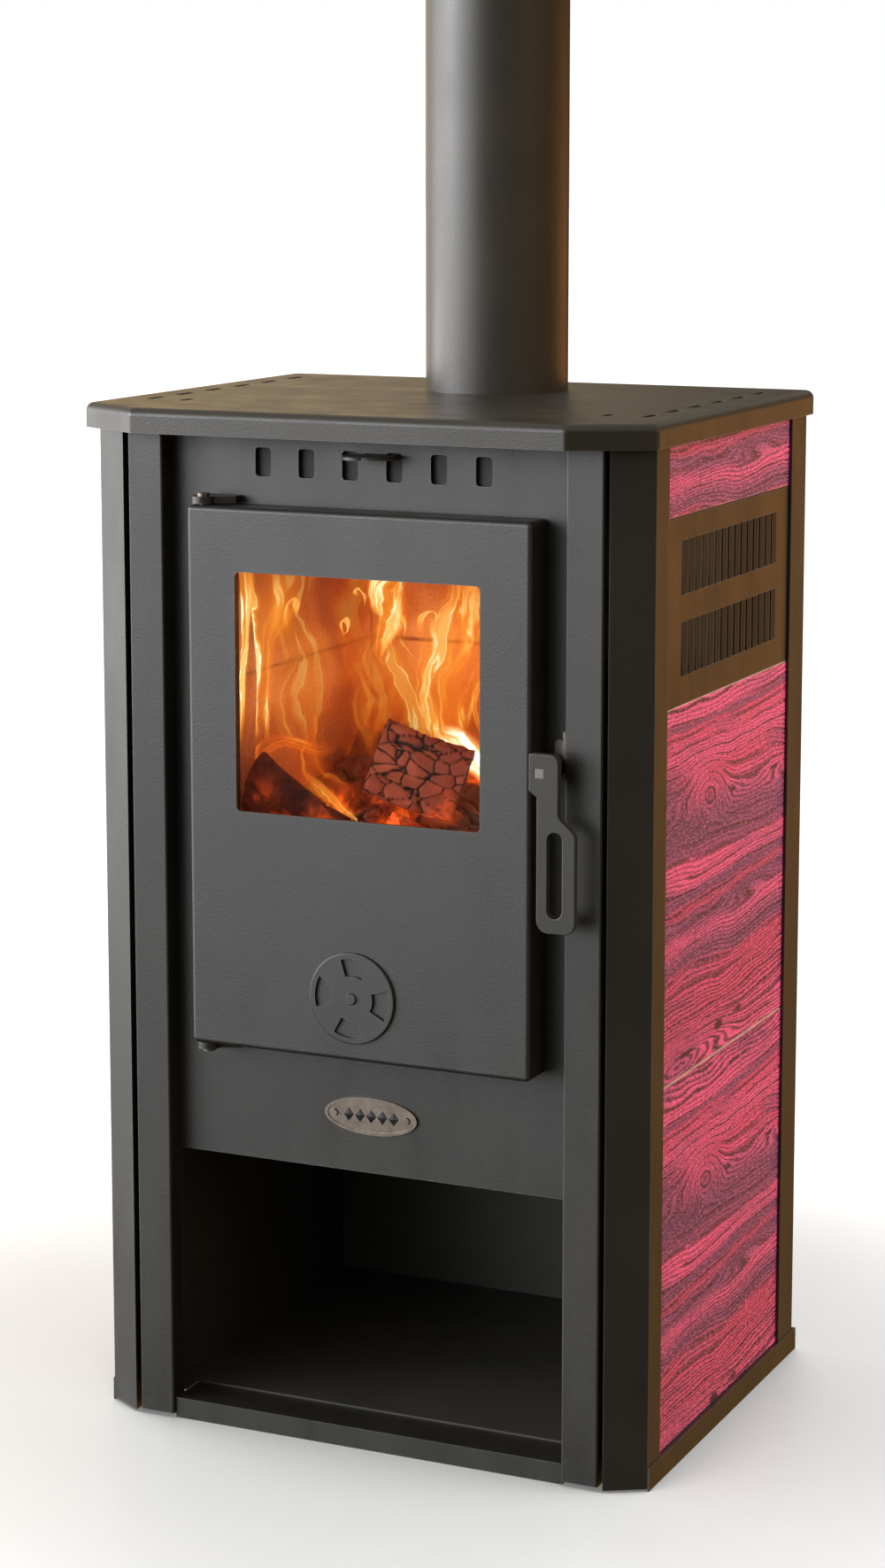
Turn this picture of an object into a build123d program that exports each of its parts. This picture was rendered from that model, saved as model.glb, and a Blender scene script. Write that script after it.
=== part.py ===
from build123d import *
import math
import os

# Free-standing wood burning stove with a log store under the firebox.
# Millimetres. +Z up, -Y is the front, +X is the door handle's side.
# The origin is on the floor, under the middle of the top plate.

# ---------------------------------------------------------------- driving dimensions
plate_w, plate_d, plate_top = 494.0, 406.0, 844.0
plate_rim, plate_wall, plate_skin = 20.0, 4.0, 5.0
plate_corner_x, plate_corner_y = 61.0, 36.0

body_half = 241.0          # side faces of the posts
strip_y = -172.0           # front faces of the two flat front strips
panel_y = -153.5           # front face of the front plate
rear_y = 199.0             # rear faces of the rear posts
sheet = 2.0                # folded casing sheet
floor_gap = 2.0            # posts stop this far above the floor

door_left, door_right = -145.0, 152.0
door_bottom, door_top = 330.0, 767.0
door_front, door_rear = -186.0, -156.5
door_skin = 3.0
door_opening_w, door_opening_h = 243.0, 393.0
window_w, window_h = 212.0, 192.0
window_x, window_z = 3.5, 620.0

warm_slot_x, warm_slot_y, warm_slot_pitch, warm_slots = 216.0, -106.0, 50.0, 6
front_slot_x, front_slot_y = 184.0, -112.0
warm_slot_l, front_slot_l, warm_slot_w = 26.0, 20.0, 7.0

flue_r, flue_wall, flue_length = 60.0, 1.5, 500.0
flue_y = 95.0
socket_r, socket_depth = 60.2, 60.0
plate_hole_r = 58.2        # hole for the spigot in the top plate
spigot_r, spigot_wall, collar_r = 57.9, 1.7, 74.0

log_opening_top = 229.0
plinth_h = 19.0

hinge_x, hinge_y, pin_r = -136.5, -173.0, 3.5
running_gap = 0.05         # radial clearance of pins in their holes

handle_x, handle_z = 163.3, 577.0
handle_front, handle_t, shaft_r = -197.0, 6.0, 5.0

rosette_x, rosette_z, rosette_r, rosette_t = 0.0, 381.6, 37.0, 2.5
rosette_turn = -6.0        # degrees, how the windows stand at rest
rosette_window, door_hole = 46.0, 38.0     # sector angles: the disc covers the holes at rest
window_in, window_out = 18.1, 32.3

air_slot_w, air_slot_h, air_slot_pitch = 14.0, 23.0, 38.3
air_slot_count, air_slot_x, air_slot_z = 6, 2.8, 800.5
air_slide_y, air_slide_t = -149.2, 2.0
lever_z, lever_t = 807.5, 3.0
lever_x = air_slot_x + 11.7
slide_travel = air_slot_pitch / 2          # the slide is shut at rest

louvre_rows, louvre_count, louvre_pitch = (662.6, 726.4), 15, 14.8
louvre_y, louvre_h = 18.0, 42.4

badge_x, badge_z = 0.5, 276.5
badge_half_w, badge_half_h = 41.0, 15.5
badge_rivet_x = 32.0       # either side of the badge's middle

pan_half, pan_front, pan_back, pan_bottom, pan_h = 104.0, -128.0, 120.0, 345.0, 62.0

tile_t, tile_h = 7.0, 300.0
flange_w = 27.0            # side flange of a corner post

# ---------------------------------------------------------------- derived places
body_top = plate_top - plate_skin
# Plan of one louvre slit: outward from the panel's face, and rearward. Its rear wall is a sloping blade.
louvre_half = louvre_pitch / 2
louvre_section = ((0.1, -louvre_half + 0.3), (0.1, louvre_half - 0.2),
                  (-sheet - 0.1, 1.7), (-sheet - 0.1, -louvre_half + 0.3))
chamfer_y = strip_y + 18.0
flange_end_y = chamfer_y + flange_w
groove_out, groove_in, strip_in = 210.0, 205.6, 174.4
post_in = groove_out - sheet
rear_post_y = 159.0
rear_rail_end = rear_y + 3.0
tile_x = body_half - sheet - 0.5
tile_front, tile_rear = flange_end_y - 4.0, rear_post_y + 4.0
lower_seam = plinth_h + tile_h
middle_seam = lower_seam + tile_h
louvre_top = middle_seam + 147.0
panel_t = 4.0
panel_back = panel_y + panel_t
sill_front = strip_y + 3.5
sill_back = sill_front + 40
inner_side_x = 194.0
back_panel_y, back_panel_t = 186.0, 1.5
rail_foot, rail_lap = 18.0, 12.0
post_gap = 0.2             # clearance around the back panel and the rear rail
box_half, box_bottom, box_top, box_wall = 160.0, 300.0, 832.0, 4.0
box_back = 150.0
brick_t = 25.0
grate_z, grate_t = 440.0, 10.0
brick_base = grate_z + grate_t
brick_top = 740.0

os.makedirs("parts", exist_ok=True)


def save(part, label):
    """Label one finished piece and write its STEP file."""
    part.label = label
    export_step(part, f"parts/{label}.step")


def bent_sheet(points, thickness):
    """Closed outline of a folded sheet: the path, and its copy offset to the left."""
    inner = []
    for i, (x, y) in enumerate(points):
        before = points[max(i - 1, 0)]
        after = points[min(i + 1, len(points) - 1)]
        normals = []
        for (x0, y0), (x1, y1) in ((before, (x, y)), ((x, y), after)):
            length = math.hypot(x1 - x0, y1 - y0)
            if length > 0:
                normals.append(((y0 - y1) / length, (x1 - x0) / length))
        nx = sum(n[0] for n in normals) / len(normals)
        ny = sum(n[1] for n in normals) / len(normals)
        scale = thickness / (nx * nx + ny * ny)
        inner.append((x + nx * scale, y + ny * scale))
    return list(points) + inner[::-1]


def front_plane(y):
    """Sketch plane whose x is the part's X and whose y is Z, facing the front."""
    return Plane(origin=(0, y, 0), x_dir=(1, 0, 0), z_dir=(0, -1, 0))


def side_plane(x):
    """Sketch plane whose x is the part's Y and whose y is Z, facing +X."""
    return Plane(origin=(x, 0, 0), x_dir=(0, 1, 0), z_dir=(1, 0, 0))


def middle_rect(x0, x1, y0, y1):
    """Rectangle between four limits, in the current sketch."""
    with Locations(((x0 + x1) / 2, (y0 + y1) / 2)):
        Rectangle(x1 - x0, y1 - y0)


def rect_ring(x0, x1, y0, y1, width):
    """Rectangular ring inside four limits, in the current sketch."""
    middle_rect(x0, x1, y0, y1)
    with Locations(((x0 + x1) / 2, (y0 + y1) / 2)):
        Rectangle(x1 - x0 - 2 * width, y1 - y0 - 2 * width, mode=Mode.SUBTRACT)


# ---------------------------------------------------------------- top plate and flue
with BuildPart() as top_plate:
    with BuildSketch(Plane.XY.offset(plate_top - plate_rim)) as plate_plan:
        Rectangle(plate_w, plate_d)
        for side in (-1, 1):
            with BuildLine():
                Polyline(
                    (side * plate_w / 2, -plate_d / 2),
                    (side * plate_w / 2, -plate_d / 2 + plate_corner_y),
                    (side * (plate_w / 2 - plate_corner_x), -plate_d / 2),
                    close=True,
                )
            make_face(mode=Mode.SUBTRACT)
        fillet(plate_plan.vertices().group_by(Axis.Y)[-1], radius=10)
        fillet(plate_plan.vertices().group_by(Axis.Y)[0], radius=6)
        fillet(plate_plan.vertices().group_by(Axis.X)[0].sort_by(Axis.Y)[0], radius=6)
        fillet(plate_plan.vertices().group_by(Axis.X)[-1].sort_by(Axis.Y)[0], radius=6)
    extrude(amount=plate_rim)
    fillet(top_plate.faces().sort_by(Axis.Z)[-1].edges(), radius=6.5)
    with BuildSketch(Plane.XY.offset(plate_top - plate_rim)):
        offset(plate_plan.sketch, amount=-plate_wall)
    extrude(amount=plate_rim - plate_skin, mode=Mode.SUBTRACT)
    with BuildSketch(Plane.XY.offset(plate_top)):
        with Locations((0, flue_y)):
            Circle(plate_hole_r)
        for side in (-1, 1):
            for index in range(warm_slots):
                with Locations((side * warm_slot_x, warm_slot_y + warm_slot_pitch * index)):
                    SlotOverall(warm_slot_l, warm_slot_w, rotation=90)
            with Locations((side * front_slot_x, front_slot_y)):
                SlotOverall(front_slot_l, warm_slot_w, rotation=90)
    extrude(amount=-plate_rim, mode=Mode.SUBTRACT)
save(top_plate.part, "top_plate")

with BuildPart() as flue_collar:
    with BuildSketch(Plane.XY.offset(box_top)):
        with Locations((0, flue_y)):
            Circle(collar_r)
            Circle(spigot_r - spigot_wall, mode=Mode.SUBTRACT)
    extrude(amount=3)
    with BuildSketch(Plane.XY.offset(box_top - 4)):
        with Locations((0, flue_y)):
            Circle(spigot_r)
            Circle(spigot_r - spigot_wall, mode=Mode.SUBTRACT)
    extrude(amount=plate_top + 40 - box_top + 4)
save(flue_collar.part, "flue_collar")

with BuildPart() as flue_pipe:
    flue_in = flue_r - flue_wall
    flue_top = plate_top + flue_length
    socket_start = flue_top - socket_depth
    with BuildSketch(Plane.XZ):
        with BuildLine():
            Polyline(
                (flue_in, plate_top),
                (flue_r, plate_top),
                (flue_r, socket_start - 6),
                (socket_r + flue_wall, socket_start),
                (socket_r + flue_wall, flue_top),
                (socket_r, flue_top),
                (socket_r, socket_start),
                (flue_in, socket_start - 6),
                close=True,
            )
        make_face()
    revolve(axis=Axis.Z)
flue_pipe.part.position = (0, flue_y, 0)
save(flue_pipe.part, "flue_pipe")

# ---------------------------------------------------------------- casing, by side
# A left path is drawn backwards, so that the sheet's thickness is always inside.
for side, name in ((-1, "left"), (1, "right")):
    with BuildPart() as corner_post:
        path = [
            (side * groove_out, panel_back),
            (side * groove_out, strip_y),
            (side * body_half, chamfer_y),
            (side * body_half, flange_end_y),
        ]
        with BuildSketch(Plane.XY.offset(floor_gap)):
            with BuildLine():
                Polyline(*bent_sheet(path[::side], sheet), close=True)
            make_face()
        extrude(amount=body_top - floor_gap)
    save(corner_post.part, f"{name}_corner_post")

    with BuildPart() as front_strip:
        path = [
            (side * strip_in, panel_y),
            (side * strip_in, strip_y),
            (side * groove_in, strip_y),
            (side * groove_in, panel_y),
        ]
        with BuildSketch(Plane.XY.offset(floor_gap + 2)) as strip_plan:
            with BuildLine():
                Polyline(*bent_sheet(path[::side], sheet), close=True)
            make_face()
            front_corners = strip_plan.vertices().group_by(Axis.Y)[0]
            fillet(front_corners, radius=1.8)
        extrude(amount=body_top - floor_gap - 2)
    save(front_strip.part, f"{name}_front_strip")

    with BuildPart() as rear_post:
        path = [
            (side * body_half, rear_post_y),
            (side * body_half, rear_y),
            (side * post_in, rear_y),
            (side * post_in, back_panel_y),
        ]
        with BuildSketch(Plane.XY.offset(floor_gap)) as post_plan:
            with BuildLine():
                Polyline(*bent_sheet(path[::side], sheet), close=True)
            make_face()
            outer_corner = post_plan.vertices().group_by(Axis.Y)[-1].sort_by(Axis.X)
            fillet(outer_corner[-1 if side > 0 else 0], radius=5)
        extrude(amount=body_top - floor_gap)
    save(rear_post.part, f"{name}_rear_post")

    tile_spans = (
        ("lower", plinth_h + 0.5, lower_seam - 0.4),
        ("middle", lower_seam + 0.4, middle_seam - 0.5),
        ("upper", louvre_top + 0.5, body_top - 1.0),
    )
    for level, tile_bottom, tile_top in tile_spans:
        with BuildPart() as side_tile:
            with BuildSketch(side_plane(side * (tile_x - tile_t / 2))):
                middle_rect(tile_front, tile_rear, tile_bottom, tile_top)
            extrude(amount=tile_t / 2, both=True)
            outer_face = side_tile.faces().sort_by(Axis.X)[-1 if side > 0 else 0]
            chamfer(outer_face.edges(), length=0.8)
        save(side_tile.part, f"{name}_{level}_tile")

    with BuildPart() as louvre_panel:
        with BuildSketch(side_plane(side * (tile_x - sheet / 2))):
            middle_rect(tile_front, tile_rear, middle_seam, louvre_top)
        extrude(amount=sheet / 2, both=True)
        for row_z in louvre_rows:
            with BuildSketch(Plane.XY.offset(row_z - louvre_h / 2)):
                with Locations((side * tile_x, louvre_y)):
                    with GridLocations(1, louvre_pitch, 1, louvre_count) as slits:
                        for slit in slits.local_locations:
                            with BuildLine(mode=Mode.PRIVATE) as slit_outline:
                                Polyline(
                                    *[(slit.position.X + side * out, slit.position.Y + along)
                                      for out, along in louvre_section],
                                    close=True,
                                )
                            make_face(slit_outline.edges())
            extrude(amount=louvre_h, mode=Mode.SUBTRACT)
        for edge_z, inward in ((middle_seam, 1), (louvre_top, -1)):
            with BuildSketch(Plane.XY.offset(edge_z + inward * sheet / 2)):
                middle_rect(*sorted((side * (tile_x - 14), side * (tile_x - sheet))),
                            tile_front, tile_rear)
            extrude(amount=sheet / 2, both=True)
    save(louvre_panel.part, f"{name}_louvre_panel")

    with BuildPart() as plinth_rail:
        with BuildSketch(Plane.XY):
            middle_rect(*sorted((side * (body_half - 30), side * (body_half + 0.1))),
                        flange_end_y + 1, rear_rail_end)
            middle_rect(*sorted((side * (body_half + 0.1), side * (body_half + 1.3))),
                        chamfer_y, rear_rail_end)
        extrude(amount=plinth_h)
        with BuildSketch(Plane.XY):
            middle_rect(*sorted((side * (body_half - 27), side * (body_half - 3))),
                        flange_end_y + 4, rear_y - 4)
        extrude(amount=plinth_h - 3, mode=Mode.SUBTRACT)
        with BuildSketch(Plane.XY.offset(floor_gap - 0.2)):
            middle_rect(*sorted((side * post_in, side * (body_half + 0.1))),
                        rear_post_y - 1, rear_y + 0.2)
        extrude(amount=plinth_h, mode=Mode.SUBTRACT)
    save(plinth_rail.part, f"{name}_plinth_rail")

    with BuildPart() as inner_side:
        with BuildSketch(side_plane(side * (inner_side_x + 0.75))):
            middle_rect(panel_back, back_panel_y, plinth_h, body_top)
        extrude(amount=0.75, both=True)
    save(inner_side.part, f"{name}_inner_side")

# ---------------------------------------------------------------- base and log store
with BuildPart() as front_sill:
    sill_path = [
        (sill_back, plinth_h - 1.6),
        (sill_front, plinth_h - 1.6),
        (sill_front, 0),
        (sill_front + 14, 0),
    ]
    with BuildSketch(side_plane(0)):
        with BuildLine():
            Polyline(*bent_sheet(sill_path, sheet), close=True)
        make_face()
    extrude(amount=strip_in - 0.2, both=True)
save(front_sill.part, "front_sill")

# The rail's upright stands against the back panel's outer face and laps over its lower edge.
rail_y = back_panel_y + back_panel_t + post_gap + sheet
rail_path = [(rail_y - rail_foot, 0), (rail_y, 0), (rail_y, plinth_h + rail_lap)]
with BuildPart() as rear_rail:
    with BuildSketch(side_plane(0)):
        with BuildLine():
            Polyline(*bent_sheet(rail_path, sheet), close=True)
        make_face()
    extrude(amount=post_in - post_gap, both=True)
save(rear_rail.part, "rear_rail")

with BuildPart() as log_floor:
    with BuildSketch(Plane.XY.offset(plinth_h - 1.6)):
        middle_rect(-inner_side_x, inner_side_x, sill_back, back_panel_y)
        for side in (-1, 1):
            middle_rect(*sorted((side * strip_in, side * inner_side_x)), panel_back, sill_back)
    extrude(amount=1.6)
save(log_floor.part, "log_floor")

with BuildPart() as log_store_ceiling:
    with BuildSketch(Plane.XY.offset(log_opening_top + 8)):
        middle_rect(-inner_side_x, inner_side_x, panel_back, back_panel_y)
    extrude(amount=1.5)
    for side in (-1, 1):
        with BuildSketch(Plane.XY.offset(log_opening_top + 9.5)):
            middle_rect(*sorted((side * inner_side_x, side * (inner_side_x - 1.5))),
                        panel_back, back_panel_y)
        extrude(amount=10)
save(log_store_ceiling.part, "log_store_ceiling")

with BuildPart() as back_panel:
    with BuildSketch(front_plane(back_panel_y + back_panel_t / 2)):
        middle_rect(-post_in + post_gap, post_in - post_gap, plinth_h, body_top)
        with Locations((0, 640)):
            with GridLocations(22, 90, 9, 2):
                SlotOverall(60, 8, rotation=90, mode=Mode.SUBTRACT)
    extrude(amount=back_panel_t / 2, both=True)
save(back_panel.part, "back_panel")

with BuildPart() as casing_screws:
    for screw_z in (60, 250, 440, 630, 815):
        with BuildSketch(Plane.XZ.offset(-(back_panel_y + back_panel_t))):
            with Locations((0, screw_z)):
                with GridLocations(2 * 190, 1, 2, 1):
                    Circle(4.5)
                    RegularPolygon(1.8, 6, mode=Mode.SUBTRACT)
        extrude(amount=-2.5)
save(casing_screws.part, "casing_screws")

# ---------------------------------------------------------------- front plate
with BuildPart() as front_plate:
    with BuildSketch(front_plane(panel_back)):
        middle_rect(-post_in, post_in, log_opening_top, body_top)
        for side in (-1, 1):
            middle_rect(*sorted((side * (strip_in + 1.5), side * post_in)),
                        plinth_h + 0.4, log_opening_top)
        with Locations(((door_left + door_right) / 2, (door_bottom + door_top) / 2)):
            RectangleRounded(door_opening_w, door_opening_h, 8, mode=Mode.SUBTRACT)
        with Locations((air_slot_x, air_slot_z)):
            with GridLocations(air_slot_pitch, 1, air_slot_count, 1):
                RectangleRounded(air_slot_w, air_slot_h, 3, mode=Mode.SUBTRACT)
        lever_gap_half = (air_slot_pitch + air_slot_w) / 2
        with Locations((air_slot_x, air_slot_z + air_slot_h / 2 - 4)):
            Rectangle(2 * lever_gap_half - 6, 5.5, mode=Mode.SUBTRACT)
    extrude(amount=panel_t)
save(front_plate.part, "front_plate")

with BuildPart() as air_slide_guides:
    for guide_z, inward in ((778.0, 1), (822.0, -1)):
        with BuildSketch(side_plane(air_slot_x)):
            with BuildLine():
                Polyline(
                    (panel_back, guide_z - inward * 4),
                    (panel_back + 4.4, guide_z - inward * 4),
                    (panel_back + 4.4, guide_z + inward * 5),
                    (panel_back + 2.7, guide_z + inward * 5),
                    (panel_back + 2.7, guide_z),
                    (panel_back, guide_z),
                    close=True,
                )
            make_face()
        extrude(amount=134, both=True)
save(air_slide_guides.part, "air_slide_guides")

outer_slot = air_slot_pitch * (air_slot_count - 1) / 2 + air_slot_w / 2
with BuildPart() as air_slide_plate:
    with BuildSketch(front_plane(air_slide_y + air_slide_t)):
        middle_rect(air_slot_x - outer_slot - 3, air_slot_x + outer_slot + slide_travel + 4,
                    778.5, 821.5)
        with Locations((air_slot_x + slide_travel, air_slot_z)):
            with GridLocations(air_slot_pitch, 1, air_slot_count, 1):
                Rectangle(air_slot_w + 2, air_slot_h + 2, mode=Mode.SUBTRACT)
        with Locations((lever_x, lever_z + lever_t / 2)):
            Rectangle(26, lever_t + 8)
    extrude(amount=air_slide_t)
save(air_slide_plate.part, "air_slide_plate")

with BuildPart() as air_slide_lever:
    with BuildSketch(Plane.XY.offset(lever_z)):
        middle_rect(lever_x - 10, lever_x + 10, -164, air_slide_y)
        with BuildLine():
            Polyline((lever_x - 26, -160), (lever_x + 16, -160))
            ThreePointArc((lever_x + 16, -160), (lever_x + 8, -174), (lever_x - 8, -180))
            ThreePointArc((lever_x - 8, -180), (lever_x - 27, -176), (lever_x - 30, -168))
            Line((lever_x - 30, -168), (lever_x - 26, -160))
        make_face()
    extrude(amount=lever_t)
    fillet(air_slide_lever.faces().sort_by(Axis.Z)[-1].edges().sort_by(Axis.Y)[:2], radius=1.2)
save(air_slide_lever.part, "air_slide_lever")

with BuildPart() as badge:
    with BuildSketch(front_plane(panel_y)):
        with Locations((badge_x, badge_z)):
            Ellipse(badge_half_w, badge_half_h)
    extrude(amount=1.2)
    with BuildSketch(front_plane(panel_y - 1.2)):
        with Locations((badge_x, badge_z)):
            Ellipse(badge_half_w, badge_half_h)
            Ellipse(badge_half_w - 2.4, badge_half_h - 2.4, mode=Mode.SUBTRACT)
    extrude(amount=0.9)
    with BuildSketch(front_plane(panel_y)):
        with Locations((badge_x, badge_z)):
            with GridLocations(2 * badge_rivet_x, 1, 2, 1):
                Circle(1.6)
    extrude(amount=4, mode=Mode.SUBTRACT)
save(badge.part, "badge")

with BuildPart() as badge_rivets:
    for rivet_x in (badge_x - badge_rivet_x, badge_x + badge_rivet_x):
        with BuildSketch(front_plane(panel_y)):
            with Locations((rivet_x, badge_z)):
                Circle(1.5)
        extrude(amount=1.4)
        with BuildSketch(front_plane(panel_y - 1.3)):
            with Locations((rivet_x, badge_z)):
                Circle(2.9)
        extrude(amount=1.3, taper=25)
save(badge_rivets.part, "badge_rivets")

# ---------------------------------------------------------------- firebox
with BuildPart() as firebox_shell:
    with BuildSketch(front_plane(box_back)):
        middle_rect(-box_half, box_half, box_bottom, box_top)
    extrude(amount=box_back - panel_back)
    with BuildSketch(front_plane(box_back - box_wall)):
        middle_rect(-box_half + box_wall, box_half - box_wall,
                    box_bottom + box_wall, box_top - box_wall)
    extrude(amount=box_back - panel_back, mode=Mode.SUBTRACT)
    with BuildSketch(Plane.XY.offset(box_top)):
        with Locations((0, flue_y)):
            Circle(58)
    extrude(amount=-box_wall, mode=Mode.SUBTRACT)
    for side in (-1, 1):
        with BuildSketch(front_plane(box_back - box_wall)):
            middle_rect(*sorted((side * (box_half - box_wall), side * (box_half - 24))),
                        grate_z - 5, grate_z)
        extrude(amount=box_back - box_wall - panel_back - 14)
save(firebox_shell.part, "firebox_shell")

for side, name in ((-1, "left"), (1, "right")):
    with BuildPart() as firebrick:
        with BuildSketch(side_plane(side * (box_half - box_wall - brick_t / 2))):
            middle_rect(panel_back + 16, box_back - box_wall, brick_base, brick_top)
        extrude(amount=brick_t / 2, both=True)
        inner_edges = firebrick.faces().sort_by(Axis.X)[0 if side > 0 else -1].edges()
        chamfer(inner_edges, length=2)
    save(firebrick.part, f"{name}_firebrick")

with BuildPart() as back_firebricks:
    for side in (-1, 1):
        with BuildSketch(front_plane(box_back - box_wall)):
            middle_rect(*sorted((side * 0.4, side * (box_half - box_wall - brick_t))),
                        brick_base, brick_top)
        extrude(amount=brick_t)
save(back_firebricks.part, "back_firebricks")

with BuildPart() as baffle_plate:
    with BuildSketch(side_plane(0)):
        with BuildLine():
            Polyline(
                (box_back - box_wall, brick_top),
                (-40, brick_top),
                (-58, brick_top + 8),
                (-58, brick_top + 28),
                (-40, brick_top + 25),
                (box_back - box_wall, brick_top + 25),
                close=True,
            )
        make_face()
    extrude(amount=box_half - box_wall, both=True)
save(baffle_plate.part, "baffle_plate")

with BuildPart() as grate:
    with BuildSketch(Plane.XY.offset(grate_z)):
        middle_rect(-box_half + box_wall, box_half - box_wall, panel_back + 14,
                    box_back - box_wall)
        with Locations((0, 5)):
            with GridLocations(20, 96, 9, 2):
                SlotOverall(84, 9, rotation=90, mode=Mode.SUBTRACT)
    extrude(amount=grate_t)
save(grate.part, "grate")

with BuildPart() as log_retainer:
    with BuildSketch(front_plane(-126)) as retainer_face:
        middle_rect(-box_half + box_wall + brick_t + 1, box_half - box_wall - brick_t - 1,
                    brick_base, brick_base + 42)
        fillet(retainer_face.vertices().group_by(Axis.Y)[-1], radius=14)
        with Locations((0, brick_base + 21)):
            with GridLocations(26, 1, 8, 1):
                SlotOverall(26, 9, rotation=90, mode=Mode.SUBTRACT)
    extrude(amount=6)
save(log_retainer.part, "log_retainer")

with BuildPart() as ash_shelf:
    with BuildSketch(Plane.XY.offset(pan_bottom - 3)):
        middle_rect(-box_half + box_wall, box_half - box_wall, panel_back + 2,
                    box_back - box_wall)
    extrude(amount=3)
    for side in (-1, 1):
        with BuildSketch(Plane.XY.offset(pan_bottom)):
            middle_rect(*sorted((side * (pan_half + 2), side * (pan_half + 5))),
                        pan_front, pan_back)
        extrude(amount=12)
save(ash_shelf.part, "ash_shelf")

with BuildPart() as ash_pan:
    with BuildSketch(Plane.XY.offset(pan_bottom)) as pan_plan:
        middle_rect(-pan_half, pan_half, pan_front, pan_back)
        fillet(pan_plan.vertices(), radius=6)
    extrude(amount=pan_h)
    pan_top_face = ash_pan.faces().sort_by(Axis.Z)[-1]
    offset(amount=-1.6, openings=pan_top_face)
    with BuildSketch(front_plane(pan_front)):
        with Locations((0, pan_bottom + 46)):
            Rectangle(74, 2)
    extrude(amount=11)
    with BuildSketch(front_plane(pan_front - 9)):
        with Locations((0, pan_bottom + 42)):
            Rectangle(74, 8)
    extrude(amount=2)
save(ash_pan.part, "ash_pan")

# Split logs: (middle of the near end, middle of the far end, radius, turn)
log_places = (
    ((-96, -52, 482), (92, -16, 480), 30, 20),
    ((-88, 62, 486), (98, 48, 484), 32, 75),
    ((50, -84, 532), (74, 84, 540), 31, 15),
    ((-72, -60, 524), (-40, 80, 534), 26, 50),
)
with BuildPart() as fire_logs:
    for start, end, log_r, log_turn in log_places:
        run = Vector(*end) - Vector(*start)
        log_plane = Plane(origin=start, z_dir=run.normalized())
        with BuildSketch(log_plane):
            RegularPolygon(log_r, 7, rotation=log_turn)
        extrude(amount=run.length)
save(fire_logs.part, "fire_logs")

# ---------------------------------------------------------------- hinges
bracket_t = 5.5
with BuildPart() as hinge_brackets:
    for bracket_z in (door_top + 1.0, door_bottom - 1.0 - bracket_t):
        with BuildSketch(Plane.XY.offset(bracket_z)):
            middle_rect(-146.0, -112.0, -165.0, panel_y)
            with Locations((hinge_x, hinge_y)):
                Circle(9.5)
            with BuildLine():
                Polyline(
                    (hinge_x - 9.5, hinge_y),
                    (hinge_x + 9.5, hinge_y),
                    (-112.0, -165.0),
                    (-112.0, -160.0),
                    (hinge_x - 9.5, -160.0),
                    close=True,
                )
            make_face()
            with Locations((hinge_x, hinge_y)):
                Circle(pin_r, mode=Mode.SUBTRACT)
        extrude(amount=bracket_t)
save(hinge_brackets.part, "hinge_brackets")

with BuildPart() as hinge_pins:
    for pin_base, pin_up in ((door_top + 1.0 + bracket_t, 1), (door_bottom - 1.0 - bracket_t, -1)):
        with BuildSketch(Plane.XY.offset(pin_base)):
            with Locations((hinge_x, hinge_y)):
                Circle(pin_r + 1.6)
        extrude(amount=2.5 * pin_up)
        with BuildSketch(Plane.XY.offset(pin_base)):
            with Locations((hinge_x, hinge_y)):
                Circle(pin_r)
        extrude(amount=-pin_up * (bracket_t + 1.0 + 12.0))
save(hinge_pins.part, "hinge_pins")

with BuildPart() as hinge_bushes:
    for bush_z in (door_top - door_skin - 10.0, door_bottom + door_skin):
        with BuildSketch(Plane.XY.offset(bush_z)):
            with Locations((hinge_x, hinge_y)):
                Circle(5.3)
                Circle(pin_r + running_gap, mode=Mode.SUBTRACT)
        extrude(amount=10)
save(hinge_bushes.part, "hinge_bushes")

# ---------------------------------------------------------------- door
def air_windows(first, angle):
    """Four sector cutters, 4 mm deep, around the middle of the front plane at y = 0."""
    with BuildPart() as cutter:
        with BuildSketch(front_plane(0)):
            for place in (first + 90.0 * quarter for quarter in range(4)):
                corners = [
                    (r * math.cos(math.radians(a)), r * math.sin(math.radians(a)))
                    for r, a in ((window_in, place - angle / 2), (window_out, place - angle / 2),
                                 (window_out, place), (window_out, place + angle / 2),
                                 (window_in, place + angle / 2), (window_in, place))
                ]
                with BuildLine() as sector:
                    Line(corners[0], corners[1])
                    ThreePointArc(corners[1], corners[2], corners[3])
                    Line(corners[3], corners[4])
                    ThreePointArc(corners[4], corners[5], corners[0])
                make_face(sector.edges())
        extrude(amount=4)
    return cutter.part


with BuildPart() as door_shell:
    with BuildSketch(front_plane(door_rear)) as door_outline:
        middle_rect(door_left, door_right, door_bottom, door_top)
        fillet(door_outline.vertices(), radius=4)
    extrude(amount=door_rear - door_front)
    front_edges = door_shell.faces().sort_by(Axis.Y)[0].edges()
    fillet(front_edges, radius=3.5)
    with BuildSketch(front_plane(door_rear)):
        middle_rect(door_left + door_skin, door_right - door_skin,
                    door_bottom + door_skin, door_top - door_skin)
    extrude(amount=door_rear - door_front - door_skin, mode=Mode.SUBTRACT)
    with BuildSketch(front_plane(door_rear)):
        with Locations((window_x, window_z)):
            RectangleRounded(window_w, window_h, 4)
    extrude(amount=door_rear - door_front, mode=Mode.SUBTRACT)
    with BuildSketch(front_plane(door_front + door_skin)):
        with Locations((rosette_x, rosette_z)):
            Circle(2.5)
    extrude(amount=door_skin, mode=Mode.SUBTRACT)
    with Locations((rosette_x, door_front + door_skin, rosette_z)):
        add(air_windows(rosette_turn + 45.0, door_hole), mode=Mode.SUBTRACT)
    with BuildSketch(Plane.XY.offset(door_bottom)):
        with Locations((hinge_x, hinge_y)):
            Circle(pin_r + running_gap)
    extrude(amount=door_top - door_bottom, mode=Mode.SUBTRACT)
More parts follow.
